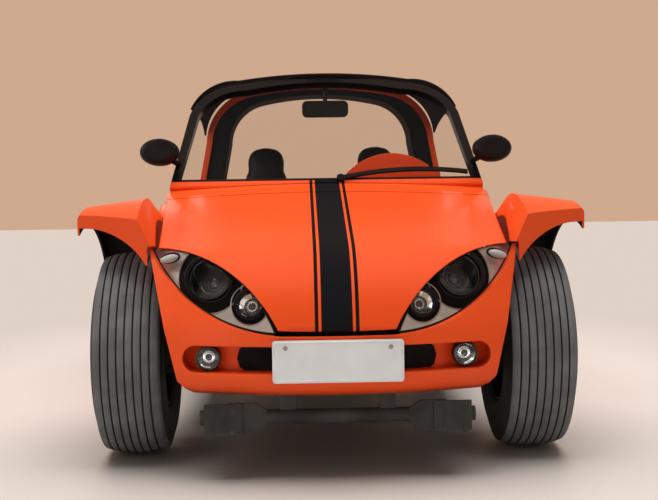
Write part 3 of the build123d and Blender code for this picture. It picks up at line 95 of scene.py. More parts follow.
# finishes: tint and shade alternate in soft patches, grain is the scale of the fine bump
lampPlaces = {"mainLamp": (0.398, 0.628, 0.106), "innerLamp": (0.270, 0.549, 0.060)}  # x, z, dish radius
finishes = {
    "orangePaint": {"tint": (0.90, 0.088, 0.013), "shade": (0.85, 0.078, 0.010), "patch": 1.4, "grain": 620,
                    "rough": 0.40, "spread": 0.06, "bump": 0.012, "coat": 0.22, "coatRough": 0.14,
                    "gloss": 0.16, "edge": 0.006},
    "satinBlack": {"tint": (0.005, 0.005, 0.006), "shade": (0.009, 0.009, 0.009), "patch": 14, "grain": 700,
                   "rough": 0.38, "spread": 0.12, "bump": 0.05, "gloss": 0.14},
    "glossBlack": {"tint": (0.008, 0.008, 0.009), "shade": (0.012, 0.012, 0.012), "patch": 9, "grain": 500,
                   "rough": 0.12, "spread": 0.05, "bump": 0.01, "coat": 0.6, "coatRough": 0.05},
    "chassisBlack": {"tint": (0.024, 0.024, 0.024), "shade": (0.05, 0.047, 0.043), "patch": 9, "grain": 260,
                     "rough": 0.62, "spread": 0.2, "bump": 0.25, "gloss": 0.2},
    # black underseal on the underside parts; on the faces inside the wheel arches it is also painted shade
    "undersealAndShade": {"tint": (0.006, 0.006, 0.006), "shade": (0.016, 0.015, 0.014), "patch": 6, "grain": 180,
                  "rough": 0.85, "spread": 0.1, "bump": 0.4, "gloss": 0.15},
    "tyreTread": {"tint": (0.112, 0.115, 0.116), "shade": (0.172, 0.174, 0.172), "patch": 11, "grain": 300,
                  "rough": 0.78, "spread": 0.15, "bump": 0.3},
    "tyreWall": {"tint": (0.018, 0.018, 0.019), "shade": (0.035, 0.034, 0.033), "patch": 8, "grain": 400,
                 "rough": 0.7, "spread": 0.15, "bump": 0.2},
    "seatVinyl": {"tint": (0.012, 0.012, 0.013), "shade": (0.022, 0.021, 0.021), "patch": 12, "grain": 420,
                  "rough": 0.5, "spread": 0.12, "bump": 0.35, "gloss": 0.2, "hide": 230},
    "roofCloth": {"tint": (0.011, 0.011, 0.012), "shade": (0.02, 0.02, 0.021), "patch": 9, "grain": 900,
                  "rough": 0.88, "spread": 0.08, "bump": 0.4, "gloss": 0.1, "weave": 190},
    "bezelSilver": {"tint": (0.42, 0.41, 0.39), "shade": (0.30, 0.29, 0.28), "patch": 20, "grain": 900,
                    "rough": 0.34, "spread": 0.1, "bump": 0.03, "metal": 0.9},
    "chrome": {"tint": (0.82, 0.82, 0.82), "shade": (0.72, 0.72, 0.73), "patch": 18, "grain": 600,
               "rough": 0.07, "spread": 0.04, "bump": 0.005, "metal": 1.0},
    "castAlloy": {"tint": (0.36, 0.35, 0.33), "shade": (0.2, 0.19, 0.18), "patch": 16, "grain": 220,
                  "rough": 0.55, "spread": 0.2, "bump": 0.3, "metal": 0.85},
    "dullSteel": {"tint": (0.28, 0.25, 0.22), "shade": (0.14, 0.1, 0.07), "patch": 13, "grain": 240,
                  "rough": 0.5, "spread": 0.2, "bump": 0.2, "metal": 0.9},
    "whitePlate": {"tint": (0.82, 0.82, 0.8), "shade": (0.76, 0.76, 0.74), "patch": 10, "grain": 500,
                   "rough": 0.35, "spread": 0.08, "bump": 0.02},
    "redLens": {"tint": (0.5, 0.01, 0.01), "shade": (0.4, 0.008, 0.008), "patch": 20, "grain": 600,
                "rough": 0.12, "spread": 0.05, "bump": 0.02, "coat": 0.8, "coatRough": 0.03},
    "amberLens": {"tint": (0.85, 0.62, 0.38), "shade": (0.75, 0.55, 0.34), "patch": 30, "grain": 600,
                  "rough": 0.2, "spread": 0.05, "bump": 0.02, "coat": 0.8, "coatRough": 0.03},
    "clearGlass": {"tint": (0.03, 0.035, 0.035), "shade": (0.025, 0.03, 0.03), "patch": 2, "grain": 80,
                   "rough": 0.03, "spread": 0.01, "bump": 0.0, "alpha": 0.07},
    "lampGlass": {"tint": (0.97, 0.98, 0.98), "shade": (0.95, 0.97, 0.96), "patch": 2, "grain": 80,
                  "rough": 0.10, "spread": 0.02, "bump": 0.0, "glass": 1.22},
    "smokedBowl": {"tint": (0.010, 0.014, 0.02), "shade": (0.02, 0.026, 0.034), "patch": 16, "grain": 400,
                   "rough": 0.16, "spread": 0.06, "bump": 0.02, "coat": 0.6, "coatRough": 0.05},
    "dimRing": {"tint": (0.22, 0.24, 0.26), "shade": (0.14, 0.16, 0.18), "patch": 16, "grain": 400,
                "rough": 0.2, "spread": 0.06, "bump": 0.0, "metal": 0.8},
    "palePlastic": {"tint": (0.50, 0.48, 0.44), "shade": (0.42, 0.40, 0.37), "patch": 30, "grain": 500,
                    "rough": 0.22, "spread": 0.05, "bump": 0.02, "coat": 0.7, "coatRough": 0.04},
    "lampBezel": {"tint": (0.52, 0.57, 0.59), "shade": (0.40, 0.44, 0.46), "patch": 20, "grain": 900,
                  "rough": 0.38, "spread": 0.1, "bump": 0.03, "metal": 0.85,
                  "dishes": tuple(lampPlaces.values()), "dishTint": (0.004, 0.004, 0.005)},
    "mirrorGlass": {"tint": (0.85, 0.86, 0.88), "shade": (0.8, 0.81, 0.83), "patch": 5, "grain": 200,
                    "rough": 0.03, "spread": 0.01, "bump": 0.0, "metal": 1.0},
}
finishes["stripedPaint"] = {**finishes["orangePaint"], "stripe": (0.0485, 0.0575, 0.069),
                            "stripeTint": (0.004, 0.005, 0.007), "stripeDull": 0.35}
# the screen frame's foot is painted as the body, with the stripe, below a line along the screen's slope
finishes["screenPaint"] = {**finishes["stripedPaint"], "rough": 0.30, "coat": 0.30, "coatRough": 0.10,
                           "gloss": 0.12, "edge": 0.008, "capUp": (0.0, 0.6157, 0.7880),
                           "capFrom": (0.0, -0.649, 0.940), "capTint": (0.005, 0.005, 0.006)}


def buildGrainGroup():
    group, given, result = newGroup("surfaceGrain", "ShaderNodeTree", (
        ("Tint", "Color"), ("Shade", "Color"), ("Patch Scale", "Float"), ("Grain Scale", "Float"),
        ("Rough", "Float"), ("Rough Spread", "Float")),
        (("Colour", "Color"), ("Roughness", "Float"), ("Height", "Float")))
    coords, patch, grain, ramp, blend, spread, rough = addNodes(
        group, "TexCoord", "TexNoise", "TexNoise", "MapRange", "Mix", "MapRange", "Math")
    patch.inputs["Detail"].default_value, grain.inputs["Detail"].default_value = 4, 2
    ramp.inputs["From Min"].default_value, ramp.inputs["From Max"].default_value = 0.35, 0.65
    spread.inputs["To Min"].default_value, spread.inputs["To Max"].default_value = -0.5, 0.5
    blend.data_type, rough.operation = "RGBA", "MULTIPLY_ADD"
    wire(group, (coords, "Object", patch, "Vector"), (coords, "Object", grain, "Vector"),
         (given, "Patch Scale", patch, "Scale"), (given, "Grain Scale", grain, "Scale"),
         (patch, "Fac", ramp, "Value"), (ramp, "Result", blend, "Factor"),
         (given, "Tint", blend, "A"), (given, "Shade", blend, "B"), (patch, "Fac", spread, "Value"),
         (spread, "Result", rough, 0), (given, "Rough Spread", rough, 1), (given, "Rough", rough, 2),
         (blend, "Result", result, "Colour"), (rough, "Value", result, "Roughness"),
         (grain, "Fac", result, "Height"))
    return group


def buildStripeGroup():
    # a band along the middle with a thin line on each side
    group, given, result = newGroup("bonnetStripe", "ShaderNodeTree", (
        ("Band Half", "Float"), ("Line Inner", "Float"), ("Line Outer", "Float")), (("Mask", "Float"),))
    coords, split = addNodes(group, "TexCoord", "SeparateXYZ")
    across, band, past, before, line, both = addNodes(group, *["Math"] * 6)
    for node, operation in zip((across, band, past, before, line, both), (
            "ABSOLUTE", "LESS_THAN", "GREATER_THAN", "LESS_THAN", "MULTIPLY", "ADD")):
        node.operation = operation
    wire(group, (coords, "Object", split, "Vector"), (split, "X", across, 0),
         (across, "Value", band, 0), (given, "Band Half", band, 1),
         (across, "Value", past, 0), (given, "Line Inner", past, 1),
         (across, "Value", before, 0), (given, "Line Outer", before, 1),
         (past, "Value", line, 0), (before, "Value", line, 1),
         (band, "Value", both, 0), (line, "Value", both, 1), (both, "Value", result, "Mask"))
    return group


def buildDishGroup():
    # two round dishes seen from the front, mirrored left and right; each is (x, z, radius)
    group, given, result = newGroup("lampDishes", "ShaderNodeTree", (
        ("Dish A", "Vector"), ("Dish B", "Vector")), (("Mask", "Float"),))
    coords, split, across, flat, either = addNodes(
        group, "TexCoord", "SeparateXYZ", "Math", "CombineXYZ", "Math")
    across.operation, either.operation = "ABSOLUTE", "MAXIMUM"
    wire(group, (coords, "Object", split, "Vector"), (split, "X", across, 0),
         (across, "Value", flat, "X"), (split, "Z", flat, "Y"), (either, "Value", result, "Mask"))
    for index, name in enumerate(("Dish A", "Dish B")):
        parts, middle, reach, inside = addNodes(group, "SeparateXYZ", "CombineXYZ", "VectorMath", "Math")
        reach.operation, inside.operation = "DISTANCE", "LESS_THAN"
        wire(group, (given, name, parts, "Vector"), (parts, "X", middle, "X"), (parts, "Y", middle, "Y"),
             (flat, "Vector", reach, 0), (middle, "Vector", reach, 1),
             (reach, "Value", inside, 0), (parts, "Z", inside, 1), (inside, "Value", either, index))
    return group


def buildWeaveGroup():
    group, given, result = newGroup("weaveHeight", "ShaderNodeTree", (("Thread Scale", "Float"),),
                                    (("Height", "Float"),))
    coords, cross = addNodes(group, "TexCoord", "Math")
    cross.operation = "MAXIMUM"
    for index, direction in enumerate(("X", "Y")):
        wave = group.nodes.new("ShaderNodeTexWave")
        wave.bands_direction = direction
        wave.inputs["Distortion"].default_value = 0.4
        wire(group, (coords, "Object", wave, "Vector"), (given, "Thread Scale", wave, "Scale"),
             (wave, "Fac", cross, index))
    wire(group, (cross, "Value", result, "Height"))
    return group


grainGroup, weaveGroup, dishGroup, stripeGroup = (
    build() for build in (buildGrainGroup, buildWeaveGroup, buildDishGroup, buildStripeGroup))


def stripeOver(tree, shader, spec, colour, rough):
    # black stripe that is duller than the paint and has no clear coat
    widths = dict(zip(("Band Half", "Line Inner", "Line Outer"), spec["stripe"]))
    stripe = placeGroup(tree, stripeGroup, widths)
    thin, dull = addNodes(tree, "MapRange", "Math")
    thin.inputs["To Min"].default_value, thin.inputs["To Max"].default_value = spec["coat"], 0.0
    dull.operation = "MULTIPLY_ADD"
    dull.inputs[1].default_value = spec["stripeDull"]
    wire(tree, (stripe, "Mask", thin, "Value"), (thin, "Result", shader, "Coat Weight"),
         (stripe, "Mask", dull, 0))
    tree.links.new(rough, dull.inputs[2])
    return layOver(tree, colour, stripe.outputs["Mask"], spec["stripeTint"]), dull.outputs["Value"]


def capOver(tree, spec, colour):
    # another tint above a sloping line
    coords, rise, climb, above = addNodes(tree, "TexCoord", "VectorMath", "VectorMath", "Math")
    rise.operation, climb.operation, above.operation = "SUBTRACT", "DOT_PRODUCT", "GREATER_THAN"
    rise.inputs[1].default_value, climb.inputs[1].default_value = spec["capFrom"], spec["capUp"]
    above.inputs[1].default_value = 0.0
    wire(tree, (coords, "Object", rise, 0), (rise, "Vector", climb, 0), (climb, "Value", above, 0))
    return layOver(tree, colour, above.outputs["Value"], spec["capTint"])


def bumpOf(tree, spec, height):
    bump = tree.nodes.new("ShaderNodeBump")
    bump.inputs["Strength"].default_value, bump.inputs["Distance"].default_value = spec["bump"], 0.001
    if "weave" in spec:
        height = placeGroup(tree, weaveGroup, {"Thread Scale": spec["weave"]}).outputs["Height"]
    if "hide" in spec:
        cells, coords = addNodes(tree, "TexVoronoi", "TexCoord")
        cells.feature = "DISTANCE_TO_EDGE"
        cells.inputs["Scale"].default_value = spec["hide"]
        wire(tree, (coords, "Object", cells, "Vector"))
        height = cells.outputs["Distance"]
    tree.links.new(height, bump.inputs["Height"])
    if "edge" in spec:  # edges catch the light as if rounded
        edge = tree.nodes.new("ShaderNodeBevel")
        edge.samples = 6
        edge.inputs["Radius"].default_value = spec["edge"]
        wire(tree, (edge, "Normal", bump, "Normal"))
    return bump.outputs["Normal"]


def makeFinish(name, spec):
    material = bpy.data.materials.new(name)
    material.use_nodes = True
    tree = material.node_tree
    shader = tree.nodes["Principled BSDF"]
    grain = placeGroup(tree, grainGroup, {
        "Tint": (*spec["tint"], 1), "Shade": (*spec["shade"], 1), "Patch Scale": spec["patch"],
        "Grain Scale": spec["grain"], "Rough": spec["rough"], "Rough Spread": spec["spread"]})
    colour, rough, height = (grain.outputs[socket] for socket in ("Colour", "Roughness", "Height"))
    if "stripe" in spec:
        colour, rough = stripeOver(tree, shader, spec, colour, rough)
    if "capTint" in spec:
        colour = capOver(tree, spec, colour)
    if "dishes" in spec:
        dishes = placeGroup(tree, dishGroup, dict(zip(("Dish A", "Dish B"), spec["dishes"])))
        colour = layOver(tree, colour, dishes.outputs["Mask"], spec["dishTint"])
    tree.links.new(colour, shader.inputs["Base Color"])
    tree.links.new(rough, shader.inputs["Roughness"])
    if spec["bump"]:
        tree.links.new(bumpOf(tree, spec, height), shader.inputs["Normal"])
    for socket, value in (
        ("Metallic", spec.get("metal", 0.0)), ("Specular IOR Level", spec.get("gloss", 0.3)),
        ("Coat Weight", spec.get("coat", 0.0)), ("Coat Roughness", spec.get("coatRough", 0.03)),
    ):
        shader.inputs[socket].default_value = value
    if "glass" in spec:
        shader.inputs["Transmission Weight"].default_value = 1.0
        shader.inputs["IOR"].default_value = spec["glass"]
    if "alpha" in spec:
        shader.inputs["Alpha"].default_value = spec["alpha"]
    return material


finish = {name: makeFinish(name, spec) for name, spec in finishes.items()}
print("finishes made:", len(finish))


# meshes and their places
def tidyMesh(mesh, smooth=True, sharpAngle=35, merge=1e-5):
    work = bmesh.new()
    work.from_mesh(mesh)
    bmesh.ops.remove_doubles(work, verts=work.verts, dist=merge)
    bmesh.ops.recalc_face_normals(work, faces=work.faces)
    work.to_mesh(mesh)
    work.free()
    mesh.polygons.foreach_set("use_smooth", [smooth] * len(mesh.polygons))
    if smooth:
        mesh.set_sharp_from_angle(angle=math.radians(sharpAngle))
    mesh.update()


def showObject(name, mesh):
    piece = bpy.data.objects.new(name, mesh)
    bpy.context.scene.collection.objects.link(piece)
    return piece


def placeMesh(name, mesh, body):
    piece = showObject(name, mesh)
    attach(piece, body)
    return piece


def addMesh(name, verts, faces, materials, body, tags=None, smooth=True, sharpAngle=35):
    # tags give each face its material
    mesh = bpy.data.meshes.new(name)
    mesh.from_pydata([tuple(vert) for vert in verts], [], faces)
    for material in materials:
        mesh.materials.append(finish[material])
    if tags:
        mesh.polygons.foreach_set("material_index", tags)
    mesh.validate()
    tidyMesh(mesh, smooth, sharpAngle)
    return placeMesh(name, mesh, body)


def turned(name, profile, centre, axis, materials, body, tags=None, segments=64, closed=False,
           sharpAngle=35):
    # profile rows are (along the axis, radius); tags give each profile edge its material
    verts, faces, marks = [], [], []
    centre = Vector(centre)
    rows = len(profile)
    for along, radius in profile:
        for step in range(segments):
            angle = 2 * math.pi * step / segments
            c, s = radius * math.cos(angle), radius * math.sin(angle)
            verts.append(centre + Vector((along, c, s) if axis == "X" else (c, along, s)))
    for row in range(rows if closed else rows - 1):
        near, far = row * segments, (row + 1) % rows * segments
        for step in range(segments):
            ahead = (step + 1) % segments
            faces.append((near + step, near + ahead, far + ahead, far + step))
            marks.append(tags[row] if tags else 0)
    return addMesh(name, verts, faces, materials, body, marks, True, sharpAngle)


def ringRows(radius, thick, at, steps=10):
    # closed round section for a ring turned about an axis
    turns = [2 * math.pi * step / steps for step in range(steps)]
    return [(at + thick * math.sin(turn), radius + thick * math.cos(turn)) for turn in turns]


def tubeAlong(name, points, radius, finishName, body, closed=False, around=8):
    # round tube through points, with closed ends
    verts, faces = [], []
    count = len(points)
    for index, point in enumerate(points):
        before = points[index - 1] if index or closed else points[0]
        after = points[(index + 1) % count] if index < count - 1 or closed else points[-1]
        ahead = (after - before).normalized()
        across = ahead.cross(Vector((0, 0, 1)))
        if across.length < 0.05:
            across = ahead.cross(Vector((0, 1, 0)))
        across.normalize()
        up = across.cross(ahead)
        for step in range(around):
            angle = 2 * math.pi * step / around
            verts.append(point + radius * (math.cos(angle) * across + math.sin(angle) * up))
    for index in range(count if closed else count - 1):
        near, far = index * around, (index + 1) % count * around
        for step in range(around):
            ahead = (step + 1) % around
            faces.append((near + step, near + ahead, far + ahead, far + step))
    if not closed:
        faces += [tuple(range(around)), tuple(range((count - 1) * around, count * around))]
    return addMesh(name, verts, faces, [finishName], body, None, True, 50)


def nodeTree(node):
    mesh = nodes[node].data
    faces = [tuple(face.vertices) for face in mesh.polygons]
    return BVHTree.FromPolygons([vert.co for vert in mesh.vertices], faces)


# bodywork, running gear and fittings: smooth-shaded copies of the solids, listed by finish
dressing = {
    "stripedPaint": ["bonnet", "cowl_panel"],
    "screenPaint": ["windscreen_frame"],
    "roofCloth": ["hoop_lining"],
    "orangePaint": ["nose_panel", "front_fender_left", "front_fender_right", "rear_fender_left",
                    "rear_fender_right", "side_wall_left", "side_wall_right", "targa_hoop", "rear_deck",
                    "engine_lid", "dashboard"],
    "satinBlack": ["side_mirror_left", "side_mirror_right", "cabin_mirror", "wiper", "rear_bumper",
                   "steering_wheel", "steering_column", "controls", "rim_front_left", "rim_front_right",
                   "rim_rear_left", "rim_rear_right"],
    "chassisBlack": ["front_crossbar", "front_axle_beam", "knuckle_left", "knuckle_right", "rear_suspension",
                     "steering_link"],
    "undersealAndShade": ["floor_pan", "firewall", "luggage_tub", "rear_bulkhead"],
    "castAlloy": ["engine", "transaxle"],
    "dullSteel": ["exhaust"],
    "redLens": ["tail_lamps"],
    "whitePlate": ["number_plate"],
    "clearGlass": ["windscreen_glass"],
}
creases = {"usual": 28, "nose_panel": 50}  # degrees up to which a crease is shaded round


def dressNode(node, finishName):
    mesh = nodes[node].data.copy()
    piece = placeMesh(node + "_skin", mesh, bodyOf[node])
    mesh.materials.clear()
    mesh.materials.append(finish[finishName])
    mesh.polygons.foreach_set("material_index", [0] * len(mesh.polygons))
    if mesh.has_custom_normals:
        with bpy.context.temp_override(object=piece, active_object=piece):
            bpy.ops.mesh.customdata_custom_splitnormals_clear()
    tidyMesh(mesh, True, creases.get(node, creases["usual"]))
    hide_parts(node)
    return piece


skins = {node: dressNode(node, name) for name, dressed in dressing.items() for node in dressed}
print("solids dressed:", len(skins))

# tyres: a turned section with straight ribs, rounded shoulders and rings on the walls
tyreSpec = {
    "segments": 160, "bead": 0.190, "grooveWidth": 0.0052, "grooveDepth": 0.0075, "grooveDraft": 0.0009,
    "crownDrop": 0.017, "crownPower": 2.6, "treadInset": 0.015, "ribRound": 0.0011,
    "ribShares": (0.0, 0.08, 0.5, 0.92, 1.0), "ribs": {"front": 8, "rear": 9},
    # share of the way from bead to shoulder, inset from the tyre's side
    "wall": ((0.0, 0.024), (0.10, 0.011), (0.25, 0.004), (0.29, 0.003), (0.30, 0.0012), (0.33, 0.0012),
             (0.34, 0.0022), (0.50, 0.0005), (0.61, 0.0012), (0.62, -0.0002), (0.66, 0.0004), (0.67, 0.003),
             (0.80, 0.0065), (0.88, 0.0105)),
}


def tyreSection(half, outer, ribs, spec):
    # rows of (x, radius, material) from one bead over the tread to the other; 0 tread, 1 wall
    treadHalf, bead, groove = half - spec["treadInset"], spec["bead"], spec["grooveWidth"]
    rise = outer - spec["crownDrop"] - bead
    left = [(inset - half, bead + rise * share, 1) for share, inset in spec["wall"]]
    right = [(-x, radius, 1) for x, radius, tag in reversed(left)]
    tread = []
    pitch = 2 * treadHalf / ribs

    def crown(x):
        return outer - spec["crownDrop"] * abs(x / treadHalf) ** spec["crownPower"]

    for rib in range(ribs):
        start = -treadHalf + rib * pitch + (groove / 2 if rib else 0)
        end = -treadHalf + (rib + 1) * pitch - (groove / 2 if rib < ribs - 1 else 0)
        for share in spec["ribShares"]:
            x = start + (end - start) * share
            tread.append((x, crown(x) - (spec["ribRound"] if share in (0.0, 1.0) else 0), 0))
        if rib < ribs - 1:
            edge, draft, depth = end + groove, spec["grooveDraft"], spec["grooveDepth"]
            tread[-1] = (*tread[-1][:2], 1)
            tread += [(end + draft, crown(end) - depth, 1), (edge - draft, crown(edge) - depth, 1)]
    return left + tread + right


def buildTyre(place, side, spec):
    node = f"tyre_{place}_{side}"
    low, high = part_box(node)
    section = tyreSection((high.x - low.x) / 2, (high.z - low.z) / 2, spec["ribs"][place], spec)
    rows, tags = [row[:2] for row in section], [row[2] for row in section]
    piece = turned(node + "_tread", rows, (low + high) / 2, "X", ["tyreTread", "tyreWall"], bodyOf[node],
                   tags, spec["segments"], True, 48)
    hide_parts(node)


for place in places:
    for side, sign in sides:
        buildTyre(place, side, tyreSpec)
print("tyres turned")

# head lamps: satin bezel with two dark dishes, a lens with its rings in each, and a pale side lamp
lampRows = {
    # front of the lens, lean back and sweep outward in radians, bowl finish, rings of (radius share, finish)
    "mainLamp": {"radius": 0.070, "front": -1.4960, "lean": 0.42, "sweep": 0.30, "depth": 0.046,
                 "bowl": "smokedBowl", "rings": ((0.36, "dimRing"), (0.62, "dimRing"))},
    "innerLamp": {"radius": 0.040, "front": -1.5740, "lean": 0.30, "sweep": 0.22, "depth": 0.034,
                  "bowl": "chrome", "rings": ((0.34, "chrome"), (0.52, "glossBlack"))},
    "fogLamp": {"x": 0.402, "z": 0.387, "inset": 0.008, "radius": 0.036, "lean": 0.0, "sweep": 0.0,
                "depth": 0.03, "bowl": "chrome", "rings": ((0.34, "chrome"),),
                "cup": ((0.0, 0.003), (0.004, 0.004), (0.05, 0.002)), "cupEnd": 0.052},
}
lampForm = {
    "wall": 0.003, "bowlShares": (0.96, 0.85, 0.7, 0.55, 0.42, 0.3), "ring": 0.0022, "ringOut": 0.004,
    # the bulb's rows are (depth share, radius share), the collar's (along, past the radius)
    "bulb": ((0.78, 0.30), (0.62, 0.27), (0.52, 0.18), (0.48, 0.0)),
    "collar": ((0.006, 0.003), (-0.002, 0.004), (-0.006, 0.0025), (-0.007, -0.001), (-0.004, -0.004),
               (0.006, -0.005)),
    "lensShares": (1.0, 0.92, 0.8, 0.64, 0.46, 0.26, 0.0), "lensOut": 0.001, "lensFit": 0.004, "bulge": 0.13,
    "lensThick": 0.003, "lensInner": 0.985,
}
bezelBead = {"steps": 120, "from": -2.2, "jump": 0.03, "thick": 0.0024, "fewest": 3}
bezelSeal = {"thick": 0.0042, "apart": 0.010, "shortest": 0.08, "crease": 0.7, "facing": -0.3}
underBonnet = {"gap": 0.006, "keep": 0.1, "reach": 0.08, "step": 0.01, "from": 0.2}
sideLampSpec = {"at": (0.536, -1.4347, 0.690), "tilt": 14, "half": (0.030, 0.013), "bulge": 0.010,
                "back": 0.012, "shares": (1.0, 0.9, 0.75, 0.55, 0.3, 0.0)}
bonnetTree = nodeTree("bonnet")


def buildLamp(name, spec, form, side, sign, centre):
    # the lens comes first in what is given back
    radius, depth, wall = spec["radius"], spec["depth"], form["wall"]

    def along(share):
        return wall + depth * (1 - share * share)

    def part(label, rows, materials, tags=None, segments=72, closed=True, sharpAngle=60):
        return turned(f"{name}_{label}_{side}", rows, centre, "Y", materials, "chassis", tags,
                      segments, closed, sharpAngle)

    bowl = [(wall, radius - wall)] + [(along(share), (radius - wall) * share) for share in form["bowlShares"]]
    tags = [0] * len(bowl) + [1] * len(form["bulb"])
    bowl += [(wall + depth * back, radius * out) for back, out in form["bulb"]]
    outside = [(-form["lensOut"] - form["bulge"] * radius * (1 - share * share),
                (radius - form["lensFit"]) * share) for share in form["lensShares"]]
    inside = [(at + form["lensThick"], out * form["lensInner"]) for at, out in reversed(outside)]
    pieces = [
        part("lens", outside + inside, ["lampGlass"]),
        part("bowl", bowl, [spec["bowl"], "smokedBowl"], tags, 64, False, 35),
        part("collar", [(at, radius + past) for at, past in form["collar"]], ["glossBlack"]),
    ]
    for index, (share, ringFinish) in enumerate(spec["rings"]):
        rows = ringRows(radius * share, form["ring"], along(share) - form["ringOut"])
        pieces.append(part(f"ring{index}", rows, [ringFinish], None, 64, True, 80))
    turn = Matrix.Rotation(sign * spec["sweep"], 4, "Z") @ Matrix.Rotation(-spec["lean"], 4, "X")
    for piece in pieces:
        piece.data.transform(Matrix.Translation(centre) @ turn @ Matrix.Translation(-Vector(centre)))
    return pieces


def bonnetUnder(x, y, spec):
    # height of the bonnet's inner face over a point, carried on sideways past its edge
    for shift in range(int(spec["reach"] / spec["step"])):
        inward = x - math.copysign(shift * spec["step"], x)
        hit = bonnetTree.ray_cast(Vector((inward, y, spec["from"])), Vector((0, 0, 1)))[0]
        if hit is not None:
            return hit.z
    return None


def pressUnder(piece, spec):
    # vertices that would stand through the bonnet are pressed below its inner face
    for vert in piece.data.vertices:
        roof = bonnetUnder(vert.co.x, vert.co.y, spec)
        if roof is not None and vert.co.z > roof - spec["gap"]:
            limit = roof - spec["gap"]
            vert.co.z = limit + spec["keep"] * (vert.co.z - limit)


def sealRuns(mesh, spec):
    # runs of points along the sharp edges of a mesh's front that lie clear of the bonnet
    work = bmesh.new()
    work.from_mesh(mesh)
    edges = [edge for edge in work.edges if len(edge.link_faces) == 2
             and edge.calc_face_angle() > spec["crease"]
             and min(face.normal.y for face in edge.link_faces) < spec["facing"]
             and bonnetTree.find_nearest((edge.verts[0].co + edge.verts[1].co) / 2)[3] > spec["apart"]]
    runs = []
    while edges:
        run = list(edges.pop().verts)
        step = True
        while step:
            step = next(((edge, end, other) for edge in edges
                         for end, other in (edge.verts, reversed(edge.verts))
                         if end is run[-1] or end is run[0]), None)
            if step:
                edge, end, other = step
                run.insert(len(run) if end is run[-1] else 0, other)
                edges.remove(edge)
        runs.append([vert.co.copy() for vert in run])
    work.free()
    return [run for run in runs if sum((b - a).length for a, b in zip(run, run[1:])) > spec["shortest"]]


def layBead(name, node, x, z, radius, side, spec):
    # bead along a dish's edge, laid on the bezel's front by rays from ahead of it
    tree = nodeTree(node)
    runs = [[]]
    for step in range(spec["steps"] + 1):
        angle = 2 * math.pi * step / spec["steps"]
        start = Vector((x + radius * math.cos(angle), spec["from"], z + radius * math.sin(angle)))
        point = tree.ray_cast(start, Vector((0, 1, 0)))[0]
        if point is None or (runs[-1] and (point - runs[-1][-1]).length > spec["jump"]):
            runs.append([])
        if point is not None:
            runs[-1].append(point)
    for index, run in enumerate(run for run in runs if len(run) > spec["fewest"]):
        tubeAlong(f"{name}{index}_{side}", run, spec["thick"], "bezelSilver", "chassis")


def buildSideLamp(side, sign, spec):
    rows = [(spec["back"], 1.0)] + [(-spec["bulge"] * (1 - share * share), share) for share in spec["shares"]]
    lamp = turned(f"sideLamp_{side}", rows, (0, 0, 0), "Y", ["palePlastic"], "chassis", None,
                  48, False, 60)
    x, y, z = spec["at"]
    lamp.data.transform(Matrix.Translation((sign * x, y, z))
                        @ Matrix.Rotation(sign * math.radians(spec["tilt"]), 4, "Y")
                        @ Matrix.Diagonal((spec["half"][0], 1.0, spec["half"][1], 1.0)))


for side, sign in sides:
    panelNode = f"headlamp_panel_{side}"
    skins[panelNode] = dressNode(panelNode, "lampBezel")
    for name, (x, z, dish) in lampPlaces.items():
        pieces = buildLamp(name, lampRows[name], lampForm, side, sign, (sign * x, lampRows[name]["front"], z))
        for piece in pieces:
            pressUnder(piece, underBonnet)
        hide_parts(f"headlamp_lenses_{side}")
        layBead(f"{name}_edge", panelNode, sign * x, z, dish, side, bezelBead)
    for index, run in enumerate(sealRuns(skins[panelNode].data, bezelSeal)):
        tubeAlong(f"bezelSeal{index}_{side}", run, bezelSeal["thick"], "satinBlack", "chassis")
    buildSideLamp(side, sign, sideLampSpec)

fog = lampRows["fogLamp"]
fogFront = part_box("fog_lamps")[0].y + fog["inset"]
for side, sign in sides:
    centre = (sign * fog["x"], fogFront, fog["z"])
    pieces = buildLamp("fogLamp", fog, lampForm, side, sign, centre)
    cup = [(at, fog["radius"] + past) for at, past in fog["cup"]] + [(fog["cupEnd"], 0.0)]
    turned(f"fogLamp_cup_{side}", cup, centre, "Y", ["satinBlack"], "chassis")
    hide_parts("fog_lamps")
print("lamps fitted")


# insides of the shells: black on faces that look at the axle, the engine or the cabin; inside the wheel arches
# this black is partly a real underseal and partly painted shade
def darkenFaces(node, finishName, rule):
    mesh = skins[node].data
    mesh.materials.append(finish[finishName])
    index = len(mesh.materials) - 1
    for face in mesh.polygons:
        if rule(face.center, face.normal):
            face.material_index = index


# where the painted shade inside each wheel arch begins: facing towards the axle, and the inner lip
archShadeLimits = {"facing": 0.3, "from": 0.72, "lipFacing": -0.4, "lipFrom": 0.78}
insides = {
    "nose_panel": lambda centre, normal: normal.y > 0.35,
    "bonnet": lambda centre, normal: normal.z < -0.15 or normal.y > 0.6,
    "rear_deck": lambda centre, normal: normal.z < -0.3,
    "engine_lid": lambda centre, normal: normal.z < -0.3,
    "cowl_panel": lambda centre, normal: normal.z < -0.3,
    "side_wall_left": lambda centre, normal: normal.x < -0.4 or normal.z < -0.5,
    "side_wall_right": lambda centre, normal: normal.x > 0.4 or normal.z < -0.5,
}


# painted shade in part: fender faces inside the arch that look at the axle, and the arch's inner lip, are turned
# black
def archShadeRule(axle, sign, spec):
    def rule(centre, normal):
        run = Vector((0, axle.y - centre.y, axle.z - centre.z)).normalized()
        out = sign * centre.x
        return ((normal.dot(run) > spec["facing"] and out > spec["from"])
                or (sign * normal.x < spec["lipFacing"] and out > spec["lipFrom"]))
    return rule


# wheel arches: black on their inner faces, partly underseal and partly painted shade
for place in places:
    for side, sign in sides:
        rule = archShadeRule(jointAt[f"spin_{place}_{side}"], sign, archShadeLimits)
        darkenFaces(f"{place}_fender_{side}", "undersealAndShade", rule)
for node, rule in insides.items():
    darkenFaces(node, "undersealAndShade", rule)
print("insides darkened")


